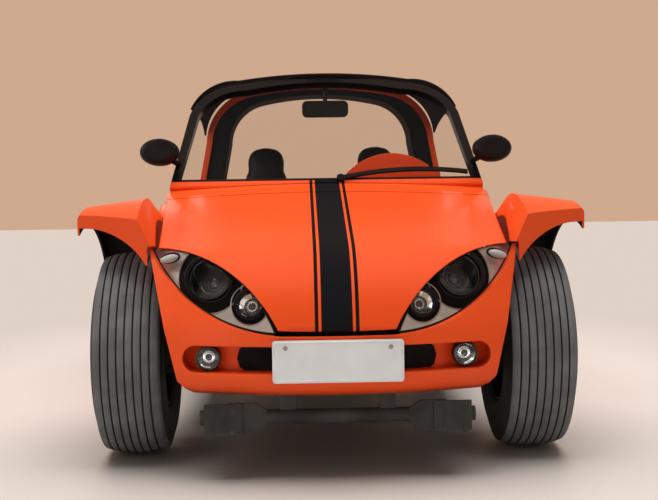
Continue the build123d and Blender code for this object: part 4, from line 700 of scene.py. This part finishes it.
# small repeated pieces are made by two node trees: a ring of bolts and a stack of ribs
def buildBoltRing():
    tree, given, result = newGroup("boltRing", "GeometryNodeTree", (
        ("Count", "Int"), ("Ring Radius", "Float"), ("Bolt Radius", "Float"), ("Bolt Height", "Float"),
        ("Washer Radius", "Float"), ("Finish", "Material")), (("Geometry", "Geometry"),))
    ring, head, washer, both, put, real, paint = addNodes(
        tree, "MeshCircle", "MeshCylinder", "MeshCylinder", "JoinGeometry", "InstanceOnPoints",
        "RealizeInstances", "SetMaterial", family="GeometryNode")
    head.inputs["Vertices"].default_value, washer.inputs["Vertices"].default_value = 6, 16
    washer.inputs["Depth"].default_value = 0.003
    wire(tree, (given, "Count", ring, "Vertices"), (given, "Ring Radius", ring, "Radius"),
         (given, "Bolt Radius", head, "Radius"), (given, "Bolt Height", head, "Depth"),
         (given, "Washer Radius", washer, "Radius"), (head, "Mesh", both, "Geometry"),
         (washer, "Mesh", both, "Geometry"), (ring, "Mesh", put, "Points"),
         (both, "Geometry", put, "Instance"), (put, "Instances", real, "Geometry"),
         (real, "Geometry", paint, "Geometry"), (given, "Finish", paint, "Material"),
         (paint, "Geometry", result, "Geometry"))
    return tree


def buildRibStack():
    tree, given, result = newGroup("ribStack", "GeometryNodeTree", (
        ("Count", "Int"), ("Pitch", "Vector"), ("Rib Size", "Vector"), ("Rib Lean", "Vector"),
        ("Finish", "Material")), (("Geometry", "Geometry"),))
    line, rib, put, real, paint = addNodes(tree, "MeshLine", "MeshCube", "InstanceOnPoints",
                                           "RealizeInstances", "SetMaterial", family="GeometryNode")
    wire(tree, (given, "Count", line, "Count"), (given, "Pitch", line, "Offset"),
         (given, "Rib Size", rib, "Size"), (line, "Mesh", put, "Points"), (rib, "Mesh", put, "Instance"),
         (given, "Rib Lean", put, "Rotation"), (put, "Instances", real, "Geometry"),
         (real, "Geometry", paint, "Geometry"), (given, "Finish", paint, "Material"),
         (paint, "Geometry", result, "Geometry"))
    return tree


boltRing, ribStack = buildBoltRing(), buildRibStack()


def settled(piece):
    # the piece's mesh with its modifiers taken up
    return bpy.data.meshes.new_from_object(piece.evaluated_get(bpy.context.evaluated_depsgraph_get()))


def grown(name, tree, values, place, body):
    # the tree's result as a plain mesh, set in its place
    carrier = showObject(name + "_carrier", bpy.data.meshes.new(name + "_carrier"))
    modifier = carrier.modifiers.new("grow", "NODES")
    modifier.node_group = tree
    for socket in tree.interface.items_tree:
        if socket.in_out == "INPUT":
            modifier[socket.identifier] = values[socket.name]
    mesh = settled(carrier)
    bpy.data.objects.remove(carrier)
    mesh.transform(place)
    mesh.name = name
    tidyMesh(mesh, True, 30)
    return placeMesh(name, mesh, body)


def boltsAt(name, spec, direction, at, body):
    # a ring of bolts whose axis looks along direction
    place = Matrix.Translation(at) @ Vector(direction).to_track_quat("Z", "Y").to_matrix().to_4x4()
    return grown(name, boltRing, {
        "Count": spec["count"], "Ring Radius": spec["circle"], "Bolt Radius": spec["radius"],
        "Bolt Height": spec["height"], "Washer Radius": spec["washer"], "Finish": finish[spec["finish"]]},
        place @ Matrix.Rotation(math.radians(spec.get("turn", 0)), 4, "Z"), body)


# wheels: nuts and a domed cap on each rim's disc
wheelNuts = {"count": 5, "circle": 0.056, "radius": 0.011, "height": 0.022, "washer": 0.016,
             "finish": "chrome", "lift": 0.001}
wheelCap = {"radius": 0.036, "rows": ((-0.004, 1.0), (0.006, 1.0), (0.016, 0.92), (0.023, 0.7), (0.027, 0.4),
                                      (0.028, 0.0))}
for place in places:
    for side, sign in sides:
        node = f"rim_{place}_{side}"
        axle = jointAt[f"spin_{place}_{side}"]
        start = Vector((sign * 1.5, axle.y + wheelNuts["circle"], axle.z))
        disc = nodeTree(node).ray_cast(start, Vector((-sign, 0, 0)))[0]
        boltsAt(f"wheelNuts_{place}_{side}", wheelNuts, (sign, 0, 0),
                (disc.x + sign * wheelNuts["lift"], axle.y, axle.z), bodyOf[node])
        rows = [(out * sign, wheelCap["radius"] * share) for out, share in wheelCap["rows"]]
        turned(f"wheelCap_{place}_{side}", rows, (disc.x, axle.y, axle.z), "X", ["chrome"], bodyOf[node],
               None, 48)
print("wheels fitted")

# crossbar: four bolts in each end plate
crossbarBolts = {"count": 4, "circle": 0.044, "radius": 0.0075, "height": 0.014, "washer": 0.012,
                 "finish": "chassisBlack", "turn": 45, "x": 0.357, "z": 0.199}
for side, sign in sides:
    at = (sign * crossbarBolts["x"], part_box("front_crossbar")[0].y, crossbarBolts["z"])
    boltsAt(f"plateBolts_{side}", crossbarBolts, (0, -1, 0), at, "chassis")

# intakes: a dark panel in each side of the nose's mouth, laid along its curved back
intake = {"outline": ((0.186, 0.341), (0.285, 0.341), (0.305, 0.354), (0.313, 0.383), (0.305, 0.412),
                      (0.285, 0.425), (0.186, 0.425)),
          "innerY": -1.608, "outerY": -1.581, "thickness": 0.006}
inner, outer = intake["outline"][0][0], max(x for x, z in intake["outline"])
for side, sign in sides:
    front = [Vector((sign * x, intake["innerY"] + (intake["outerY"] - intake["innerY"])
                     * ((x - inner) / (outer - inner)), z)) for x, z in intake["outline"]]
    count = len(front)
    verts = front + [point + Vector((0, intake["thickness"], 0)) for point in front]
    faces = [tuple(range(count)), tuple(range(count, 2 * count))]
    faces += [(k, (k + 1) % count, count + (k + 1) % count, count + k) for k in range(count)]
    addMesh(f"intakePanel_{side}", verts, faces, ["undersealAndShade"], "chassis", None, False)

# number plate: raised rim and two domed screws on the blank face
plate = {"corner": 0.012, "inset": 0.006, "rim": 0.0022, "rimLift": 0.0002, "screwX": 0.16, "screwUp": 0.042,
         "screw": ((0.001, 0.007), (-0.0012, 0.007), (-0.0021, 0.0063), (-0.003, 0.0045), (-0.0034, 0.0022),
                   (-0.0035, 0.0))}
low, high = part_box("number_plate")
corner, margin = plate["corner"], plate["corner"] + plate["inset"]
rimPoints = []
for quarter, (right, top) in enumerate(((True, True), (False, True), (False, False), (True, False))):
    x = high.x - margin if right else low.x + margin
    z = high.z - margin if top else low.z + margin
    for step in range(7):
        angle = math.radians(90 * quarter + 15 * step)
        rimPoints.append(Vector((x + corner * math.cos(angle), low.y - plate["rimLift"],
                                 z + corner * math.sin(angle))))
tubeAlong("plateRim", rimPoints, plate["rim"], "whitePlate", "chassis", True)
for side, sign in sides:
    at = (sign * plate["screwX"], low.y, (low.z + high.z) / 2 + plate["screwUp"])
    turned(f"plateScrew_{side}", plate["screw"], at, "Y", ["bezelSilver"], "chassis", None, 24)
print("front fittings made")

# soft roof: one sheet stretched from the screen's header over the hoop, with bound edges
roofSpec = {"front": {"y": -0.322, "shoulder": (0.556, 1.262), "corner": (0.356, 1.374), "crown": 1.401},
            "rear": {"y": 0.490, "shoulder": (0.568, 1.200), "corner": (0.366, 1.416), "crown": 1.450},
            "rows": 34, "lift": 0.003, "sag": 0.007, "thickness": 0.003, "hem": 0.005, "half": 0.6,
            "knee": (0.12, 0.06), "kneeShares": (0.29, 0.42), "sideSteps": 14, "topSteps": 30,
            "draw": 0.012, "ripple": 0.0012, "rippleWaves": (9, 5), "turnIn": 0.005}


def arcThrough(a, b, c, count):
    # points on the circle through three points, from a to c
    ax, ay, bx, by, cx, cy = *a, *b, *c
    d = 2 * (ax * (by - cy) + bx * (cy - ay) + cx * (ay - by))
    aa, bb, cc = ax * ax + ay * ay, bx * bx + by * by, cx * cx + cy * cy
    ux = (aa * (by - cy) + bb * (cy - ay) + cc * (ay - by)) / d
    uy = (aa * (cx - bx) + bb * (ax - cx) + cc * (bx - ax)) / d
    radius = math.hypot(ax - ux, ay - uy)
    first, last = math.atan2(ay - uy, ax - ux), math.atan2(cy - uy, cx - ux)
    turn = (last - first + math.pi) % (2 * math.pi) - math.pi
    angles = [first + turn * k / count for k in range(count + 1)]
    return [(ux + radius * math.cos(angle), uy + radius * math.sin(angle)) for angle in angles]


def roofArch(end, spec):
    shoulder, corner, crown = end["shoulder"], end["corner"], end["crown"]
    (kneeIn, kneeDown), (endShare, kneeShare) = spec["knee"], spec["kneeShares"]
    knee = (shoulder[0] - kneeIn * (shoulder[0] - corner[0]),
            corner[1] - kneeDown * (corner[1] - shoulder[1]))
    middle = tuple(endShare * (s + c) + kneeShare * k for s, c, k in zip(shoulder, corner, knee))
    half = arcThrough(shoulder, middle, corner, spec["sideSteps"])[:-1]
    top = arcThrough(corner, (0, crown), (-corner[0], corner[1]), spec["topSteps"])
    arch = half + top + [(-x, z) for x, z in reversed(half)]
    return [(x * (1 + spec["lift"] / spec["half"]), z + spec["lift"]) for x, z in arch]


def buildRoof(spec):
    front, rear = (roofArch(spec[end], spec) for end in places)
    verts, faces = [], []
    count, rows = len(front), spec["rows"]
    for row in range(rows + 1):
        share = row / rows
        belly = math.sin(math.pi * share)
        for index, (a, b) in enumerate(zip(front, rear)):
            across = abs(2 * index / (count - 1) - 1)
            dip = spec["sag"] * belly * (1 - across ** 2)
            draw = spec["draw"] * belly * across ** 6
            along, over = spec["rippleWaves"]
            ripple = spec["ripple"] * math.sin(along * share + over * across) * belly
            x, z = a[0] + (b[0] - a[0]) * share, a[1] + (b[1] - a[1]) * share
            y = spec["front"]["y"] + (spec["rear"]["y"] - spec["front"]["y"]) * share
            verts.append(Vector((x * (1 - draw / spec["half"]), y, z - dip + ripple + draw)))
    for row in range(rows):
        for index in range(count - 1):
            base = row * count + index
            faces.append((base, base + 1, base + 1 + count, base + count))
    roof = addMesh("softRoof", verts, faces, ["roofCloth"], "chassis", None, True, 60)
    wall = roof.modifiers.new("wall", "SOLIDIFY")
    wall.thickness, wall.offset = spec["thickness"], 1.0
    edges = {"front": verts[:count], "rear": verts[rows * count:], "left": verts[0::count],
             "right": verts[count - 1::count]}
    hems = [tubeAlong(f"roofHem_{name}", edge, spec["hem"], "roofCloth", "chassis")
            for name, edge in edges.items()]
    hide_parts("roof_canopy")


buildRoof(roofSpec)

# seats and bench: rounded forms joined and remeshed, swollen by a cloth run, then sewn in channels
padSpec = {"voxel": 0.009, "pressure": 4.0, "frames": 14, "cap": 0.012, "seam": 0.006, "seamWidth": 0.009,
           "fill": 0.7}
seatSpec = {
    **padSpec, "x": 0.27, "y": 0.0603, "foot": (0.19, 0.47), "lean": math.radians(14),
    # half sizes, place and roundness; places on the back are across, up the back and out to the front
    "pan": ((0.168, 0.222, 0.044), (0, 0.026, 0.432), 6),
    "panBolster": ((0.030, 0.190, 0.055), (0.150, 0.02, 0.466), 4),
    "backBolster": ((0.030, 0.040, 0.175), (0.148, 0.155, -0.005), 4),
    "back": (((0.168, 0.038, 0.235), (0, 0.205, -0.042), 5), ((0.112, 0.036, 0.130), (0, 0.470, -0.042), 4),
             ((0.096, 0.037, 0.112), (0, 0.592, -0.042), 2.7)),
    "backSeams": (0.10, 0.20, 0.30, 0.415), "panSeams": (-0.10, 0.0, 0.10), "seamReach": 0.115,
    "panTop": 0.5, "sideSeam": 0.121, "sideTop": 0.88,
    "plinth": (0.168, 0.178), "plinthTop": 0.388, "plinthBack": 0.02,
}
benchSpec = {
    **padSpec, "cap": 0.008, "voxel": 0.011, "side": 0.004, "roundness": 9, "cuts": 12,
    "panTop": 0.452, "panHalf": 0.066, "panIn": 0.072, "backHalf": (0.036, 0.215), "backIn": 0.062,
    "backMiddle": 0.642, "backLean": math.atan2(0.05, 0.395), "footHalf": (0.045, 0.10), "footIn": 0.065,
    "footUp": 0.11, "seams": (-0.28, -0.14, 0.0, 0.14, 0.28),
}


def roundedBlock(work, half, place, power, cuts=9):
    block = bmesh.new()
    bmesh.ops.create_cube(block, size=2.0)
    bmesh.ops.subdivide_edges(block, edges=block.edges[:], cuts=cuts, use_grid_fill=True)
    for vert in block.verts:
        size = sum(abs(c) ** power for c in vert.co) ** (1 / power)
        vert.co = place @ Vector([c / size * h for c, h in zip(vert.co, half)])
    mesh = bpy.data.meshes.new("block")
    block.to_mesh(mesh)
    block.free()
    work.from_mesh(mesh)
    bpy.data.meshes.remove(mesh)


def meshOf(name, work):
    mesh = bpy.data.meshes.new(name)
    work.to_mesh(mesh)
    work.free()
    return mesh


def blockPiece(name, half, at, power, cuts, finishName, sharpAngle):
    work = bmesh.new()
    roundedBlock(work, half, Matrix.Translation(at), power, cuts)
    mesh = meshOf(name, work)
    mesh.materials.append(finish[finishName])
    tidyMesh(mesh, True, sharpAngle)
    return placeMesh(name, mesh, "chassis")


def backPlace(across, height, out, spec):
    # place on a leaning back
    lean = spec["lean"]
    up, front = Vector((0, math.sin(lean), math.cos(lean))), Vector((0, -math.cos(lean), math.sin(lean)))
    at = Vector((0, *spec["foot"])) + Vector((across, 0, 0)) + up * height + front * out
    turn = Matrix((Vector((1, 0, 0)), -front, up)).transposed().to_4x4()
    return Matrix.Translation(at) @ turn


def blowUp(pad, spec):
    # a short cloth run under pressure, with each vertex's way held to a cap
    rest = [vert.co.copy() for vert in pad.data.vertices]
    cloth = pad.modifiers.new("cloth", "CLOTH")
    cloth.settings.quality = 3
    cloth.settings.use_pressure = True
    cloth.settings.uniform_pressure_force = spec["pressure"]
    cloth.settings.effector_weights.gravity = 0
    cloth.collision_settings.use_collision = False
    cloth.point_cache.frame_start, cloth.point_cache.frame_end = 1, spec["frames"]
    for frameNumber in range(1, spec["frames"] + 1):
        bpy.context.scene.frame_set(frameNumber)
    blown = pad.evaluated_get(bpy.context.evaluated_depsgraph_get()).data
    moved = [vert.co.copy() for vert in blown.vertices]
    pad.modifiers.clear()
    bpy.context.scene.frame_set(1)
    for vert, before, after in zip(pad.data.vertices, rest, moved):
        step = after - before
        if step.length > spec["cap"]:
            step *= spec["cap"] / step.length
        vert.co = before + step


def swell(name, work, spec):
    bmesh.ops.recalc_face_normals(work, faces=work.faces)
    pad = showObject(name, meshOf(name, work))
    remesh = pad.modifiers.new("remesh", "REMESH")
    remesh.mode, remesh.voxel_size = "VOXEL", spec["voxel"]
    relax = pad.modifiers.new("relax", "SMOOTH")
    relax.factor, relax.iterations = 0.5, 6
    plain = settled(pad)
    pad.modifiers.clear()
    pad.data = plain
    blowUp(pad, spec)
    return pad


def sew(pad, seams, spec):
    # each seam gives a point's distance to it, or None where it does not apply
    mesh = pad.data
    normals = [vert.normal.copy() for vert in mesh.vertices]
    for vert, normal in zip(mesh.vertices, normals):
        for seam in seams:
            gap = seam(vert.co, normal)
            if gap is not None:
                vert.co -= normal * spec["seam"] * math.exp(-(gap / spec["seamWidth"]) ** 2)
    soft = pad.modifiers.new("soft", "SUBSURF")
    soft.levels = soft.render_levels = 1
    pad.data = settled(pad)
    pad.modifiers.clear()
    pad.data.materials.clear()
    pad.data.materials.append(finish["seatVinyl"])
    pad.data.polygons.foreach_set("use_smooth", [True] * len(pad.data.polygons))


def seatSeams(spec):
    foot = Vector((0, *spec["foot"]))
    up = Vector((0, math.sin(spec["lean"]), math.cos(spec["lean"])))

    def backSeam(height):
        return lambda point, normal: (abs((point - foot).dot(up) - height)
                                      if normal.y <= -0.35 and abs(point.x) <= spec["seamReach"] else None)

    def panSeam(y):
        return lambda point, normal: (abs(point.y - y) if normal.z > 0.5 and abs(point.x) < spec["seamReach"]
                                      and point.z < spec["panTop"] else None)

    def sideSeam(point, normal):
        onTop = (normal.z > 0.4 or normal.y < -0.4) and point.z < spec["sideTop"]
        return abs(abs(point.x) - spec["sideSeam"]) if onTop else None

    return [backSeam(h) for h in spec["backSeams"]] + [panSeam(y) for y in spec["panSeams"]] + [sideSeam]


def buildSeats(spec):
    work = bmesh.new()
    half, at, power = spec["pan"]
    roundedBlock(work, half, Matrix.Translation(at), power)
    for side, sign in sides:
        half, (x, y, z), power = spec["panBolster"]
        roundedBlock(work, half, Matrix.Translation((sign * x, y, z)), power)
        half, (across, height, out), power = spec["backBolster"]
        roundedBlock(work, half, backPlace(sign * across, height, out, spec), power)
    for half, at, power in spec["back"]:
        roundedBlock(work, half, backPlace(*at, spec), power)
    pad = swell("seatForm", work, spec)
    sew(pad, seatSeams(spec), spec)
    for side, sign in sides:
        mesh = pad.data.copy()
        mesh.transform(Matrix.Translation((sign * spec["x"], spec["y"], 0)))
        piece = placeMesh(f"seatPad_{side}", mesh, "chassis")
        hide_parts(f"seat_{side}")
        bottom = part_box(f"seat_{side}")[0].z
        half = (*spec["plinth"], (spec["plinthTop"] - bottom) / 2)
        at = (sign * spec["x"], spec["y"] + spec["plinthBack"], bottom + half[2])
        blockPiece(f"seatPlinth_{side}", half, at, 14, 6, "satinBlack", 40)
    bpy.data.objects.remove(pad)


def buildBench(spec):
    low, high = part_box("rear_bench")
    wide = (high.x - low.x) / 2 - spec["side"]
    panZ = (low.z + spec["panTop"]) / 2
    backTurn = Matrix.Rotation(-spec["backLean"], 4, "X")
    work = bmesh.new()
    for half, at, turn in (
        ((spec["panHalf"], spec["panTop"] - panZ), (low.y + spec["panIn"], panZ), Matrix.Identity(4)),
        (spec["backHalf"], (high.y - spec["backIn"], spec["backMiddle"]), backTurn),
        (spec["footHalf"], (high.y - spec["footIn"], low.z + spec["footUp"]), Matrix.Identity(4)),
    ):
        place = Matrix.Translation((0, *at)) @ turn
        roundedBlock(work, (wide, *half), place, spec["roundness"], spec["cuts"])
    pad = swell("benchPad", work, spec)
    sew(pad, [lambda point, normal, x=x: abs(point.x - x) if normal.y < -0.4 or normal.z > 0.4 else None
              for x in spec["seams"]], spec)
    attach(pad, "chassis")
    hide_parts("rear_bench")


buildSeats(seatSpec)
buildBench(benchSpec)
print("seats and bench sewn")

# dials behind the wheel, with dots and a needle each
dialSpec = {"places": ((0.215, 0.962), (0.325, 0.962)), "radius": 0.044, "lift": 0.0008, "deep": 0.003,
            "rim": 0.0035, "needleTurn": (220, 200), "needle": (-0.006, 0.015, 0.032), "needleThick": 0.0012,
            "needleLift": 0.0055, "dotLift": 0.0035}
dialDots = {"count": 12, "circle": dialSpec["radius"] * 0.82, "radius": 0.0016, "height": 0.0024,
            "washer": 0.0018, "finish": "whitePlate"}
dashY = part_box("dashboard")[1].y
for index, ((x, z), turn) in enumerate(zip(dialSpec["places"], dialSpec["needleTurn"])):
    centre, radius, deep = (x, dashY + dialSpec["lift"], z), dialSpec["radius"], dialSpec["deep"]
    turned(f"dialFace{index}", [(0.0, radius), (deep, radius), (deep, 0.0)], centre, "Y", ["glossBlack"],
           "chassis", None, 48)
    turned(f"dialRim{index}", ringRows(radius, dialSpec["rim"], deep), centre, "Y", ["chrome"], "chassis",
           None, 48, True, 80)
    boltsAt(f"dialDots{index}", dialDots, (0, 1, 0), (x, dashY + dialSpec["dotLift"], z), "chassis")
    aim = Vector((math.cos(math.radians(turn)), 0, math.sin(math.radians(turn))))
    at = Vector((x, dashY + dialSpec["needleLift"], z))
    tubeAlong(f"dialNeedle{index}", [at + aim * reach for reach in dialSpec["needle"]],
              dialSpec["needleThick"], "amberLens", "chassis")
print("dials fitted")

# mirror glass: ovals in the side mirrors and a rounded strip in the cabin mirror
sideGlass = {"at": (0.655, -0.6518, 1.068), "half": (0.067, 0.046),
             "rows": ((0.0, 1.0), (0.002, 0.985), (0.0026, 0.9), (0.0028, 0.0))}
cabinGlass = {"at": (0.006, -0.2998, 1.258), "half": (0.089, 0.0018, 0.028)}
for side, sign in sides:
    glass = turned(f"mirrorGlass_{side}", sideGlass["rows"], (0, 0, 0), "Y", ["mirrorGlass"], "chassis",
                   None, 64, False, 60)
    x, y, z = sideGlass["at"]
    glass.data.transform(Matrix.Translation((sign * x, y, z))
                         @ Matrix.Diagonal((sideGlass["half"][0], 1.0, sideGlass["half"][1], 1.0)))
blockPiece("cabinMirrorGlass", cabinGlass["half"], cabinGlass["at"], 8, 9, "mirrorGlass", 50)

# tail: bright rims round the lamps, louvres in the lid
tailRim = {"x": 0.415, "z": 0.655, "inset": 0.014, "radius": 0.0455, "thick": 0.004}
louvre = {"count": 6, "startY": 1.10, "step": 0.052, "slope": -0.1867, "size": (0.19, 0.026, 0.007),
          "lean": -0.36, "x": 0.15, "lift": 0.001}
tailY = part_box("tail_lamps")[1].y - tailRim["inset"]
lidTop = nodeTree("engine_lid").ray_cast(Vector((louvre["x"], louvre["startY"], 2)), Vector((0, 0, -1)))[0]
for side, sign in sides:
    at = (sign * tailRim["x"], tailY, tailRim["z"])
    turned(f"tailRim_{side}", ringRows(tailRim["radius"], tailRim["thick"], 0.0), at, "Y", ["chrome"],
           "chassis", None, 56, True, 80)
    grown(f"lidLouvres_{side}", ribStack, {
        "Count": louvre["count"], "Pitch": (0, louvre["step"], louvre["step"] * louvre["slope"]),
        "Rib Size": louvre["size"], "Rib Lean": (louvre["lean"], 0, 0), "Finish": finish["orangePaint"]},
        Matrix.Translation((sign * louvre["x"], louvre["startY"], lidTop.z + louvre["lift"])), "engine_lid")
print("mirrors and tail finished")

# floor, walls of light and the camera at the photograph's angle
studio = {"floorSize": 60.0, "farFrom": (1.7, 4.2), "farTint": (0.75, 0.64, 0.57),
          "bounceTint": (0.62, 0.56, 0.52), "backTint": (0.62, 0.40, 0.27), "worldTint": (1.0, 0.97, 0.94),
          "worldPower": 0.17, "cameraAt": (-0.114, -5.0, 0.88), "lens": 59.96, "pitch": 2.716, "yaw": 1.568,
          "roll": 0.8}
paleFloor = {"tint": (0.90, 0.81, 0.75), "shade": (0.865, 0.775, 0.715), "patch": 0.6, "grain": 90,
             "rough": 0.42, "spread": 0.08, "bump": 0.01, "gloss": 0.2}
lamps = (
    # name, place, aim, width, depth, watts, seen in gloss, lights the floor
    ("overheadSoftbox", (0.0, -0.6, 5.4), (0.0, -0.5, 0.6), 5.5, 6.5, 372, False, True),
    ("frontSoftbox", (-2.4, -5.2, 1.9), (0.0, -1.0, 0.5), 3.4, 2.6, 18, True, False),
    ("fillSoftbox", (3.6, -4.0, 2.0), (0.0, -0.8, 0.5), 3.0, 2.6, 13, False, False),
    ("lowStrip", (0.0, -3.3, 0.12), (0.0, -1.6, 0.34), 2.6, 0.24, 7, False, False),
    ("sideStrip", (-4.2, -1.6, 2.3), (-0.6, -0.6, 1.0), 0.5, 3.0, 46, True, False),
    ("backSoftbox", (0.0, 4.6, 3.2), (0.0, 0.6, 0.7), 3.4, 1.6, 45, True, True),
)


def seenRays(tree):
    # 1 for what the camera sees straight, mirrored or through glass
    rays = tree.nodes.new("ShaderNodeLightPath")
    seen = rays.outputs["Is Camera Ray"]
    for name in ("Is Glossy Ray", "Is Transmission Ray"):
        either = tree.nodes.new("ShaderNodeMath")
        either.operation = "MAXIMUM"
        tree.links.new(seen, either.inputs[0])
        tree.links.new(rays.outputs[name], either.inputs[1])
        seen = either.outputs["Value"]
    return seen


def paintFarFloor(tree, spec):
    # away from the car the floor shows its own pale colour to the camera, without the lamps' fall-off
    coords, reach, far, seen, plain, mix, bounce = addNodes(
        tree, "TexCoord", "VectorMath", "MapRange", "Math", "Emission", "MixShader", "Mix")
    watched = seenRays(tree)
    shader = tree.nodes["Principled BSDF"]
    pale = shader.inputs["Base Color"].links[0].from_socket
    bounce.data_type = "RGBA"
    bounce.inputs["A"].default_value = (*spec["bounceTint"], 1)
    reach.operation, seen.operation, far.interpolation_type = "LENGTH", "MULTIPLY", "SMOOTHSTEP"
    far.inputs["From Min"].default_value, far.inputs["From Max"].default_value = spec["farFrom"]
    plain.inputs["Color"].default_value = (*spec["farTint"], 1)
    tree.links.new(watched, bounce.inputs["Factor"])
    tree.links.new(pale, bounce.inputs["B"])
    tree.links.new(watched, seen.inputs[1])
    wire(tree, (bounce, "Result", shader, "Base Color"), (coords, "Object", reach, 0),
         (reach, "Value", far, "Value"), (far, "Result", seen, 0), (seen, "Value", mix, "Fac"),
         (shader, "BSDF", mix, 1), (plain, "Emission", mix, 2),
         (mix, "Shader", tree.nodes["Material Output"], "Surface"))


def buildWorld(spec):
    # soft light on the car, and a warm wall behind it for what is seen
    world = bpy.data.worlds.new("studioWorld")
    bpy.context.scene.world = world
    world.use_nodes = True
    tree = world.node_tree
    lit = tree.nodes["Background"]
    lit.inputs["Color"].default_value = (*spec["worldTint"], 1)
    lit.inputs["Strength"].default_value = spec["worldPower"]
    wall, mix = addNodes(tree, "Background", "MixShader")
    wall.inputs["Color"].default_value = (*spec["backTint"], 1)
    tree.links.new(seenRays(tree), mix.inputs["Fac"])
    wire(tree, (lit, "Background", mix, 1), (wall, "Background", mix, 2),
         (mix, "Shader", tree.nodes["World Output"], "Surface"))


def hangLamps(rows, floor):
    # lamps with this list light the car and not the floor
    carOnly = bpy.data.collections.new("carOnly")
    carOnly.objects.link(floor)
    carOnly.collection_objects[0].light_linking.link_state = "EXCLUDE"
    for name, place, aim, width, depth, watts, glossy, floorToo in rows:
        light = bpy.data.lights.new(name, "AREA")
        light.shape = "RECTANGLE"
        light.size, light.size_y, light.energy = width, depth, watts
        lamp = showObject(name, light)
        lamp.location = place
        lamp.rotation_euler = (Vector(aim) - Vector(place)).to_track_quat("-Z", "Y").to_euler()
        lamp.visible_glossy = glossy
        if not floorToo:
            lamp.light_linking.receiver_collection = carOnly


def setCamera(spec):
    lens = bpy.data.cameras.new("photoCamera")
    lens.lens, lens.sensor_width, lens.sensor_fit = spec["lens"], 36.0, "HORIZONTAL"
    lens.clip_start, lens.clip_end = 0.05, 200
    camera = showObject("photoCamera", lens)
    pitch, yaw, roll = (math.radians(spec[key]) for key in ("pitch", "yaw", "roll"))
    forward = Vector((math.sin(yaw) * math.cos(pitch), math.cos(yaw) * math.cos(pitch), -math.sin(pitch)))
    turn = forward.to_track_quat("-Z", "Y").to_matrix().to_4x4() @ Matrix.Rotation(-roll, 4, "Z")
    camera.matrix_world = Matrix.Translation(spec["cameraAt"]) @ turn
    bpy.context.scene.camera = camera


def buildStudio(spec, floorFinish, lampTable):
    bpy.context.scene.view_settings.view_transform = "Standard"
    half = spec["floorSize"] / 2
    floorMesh = bpy.data.meshes.new("studioFloor")
    corners = [(-half, -half, 0), (half, -half, 0), (half, half, 0), (-half, half, 0)]
    floorMesh.from_pydata(corners, [], [(0, 1, 2, 3)])
    floorMesh.materials.append(makeFinish("paleFloor", floorFinish))
    paintFarFloor(floorMesh.materials[0].node_tree, spec)
    floor = showObject("studioFloor", floorMesh)
    buildWorld(spec)
    hangLamps(lampTable, floor)
    setCamera(spec)


buildStudio(studio, paleFloor, lamps)
print("studio set")
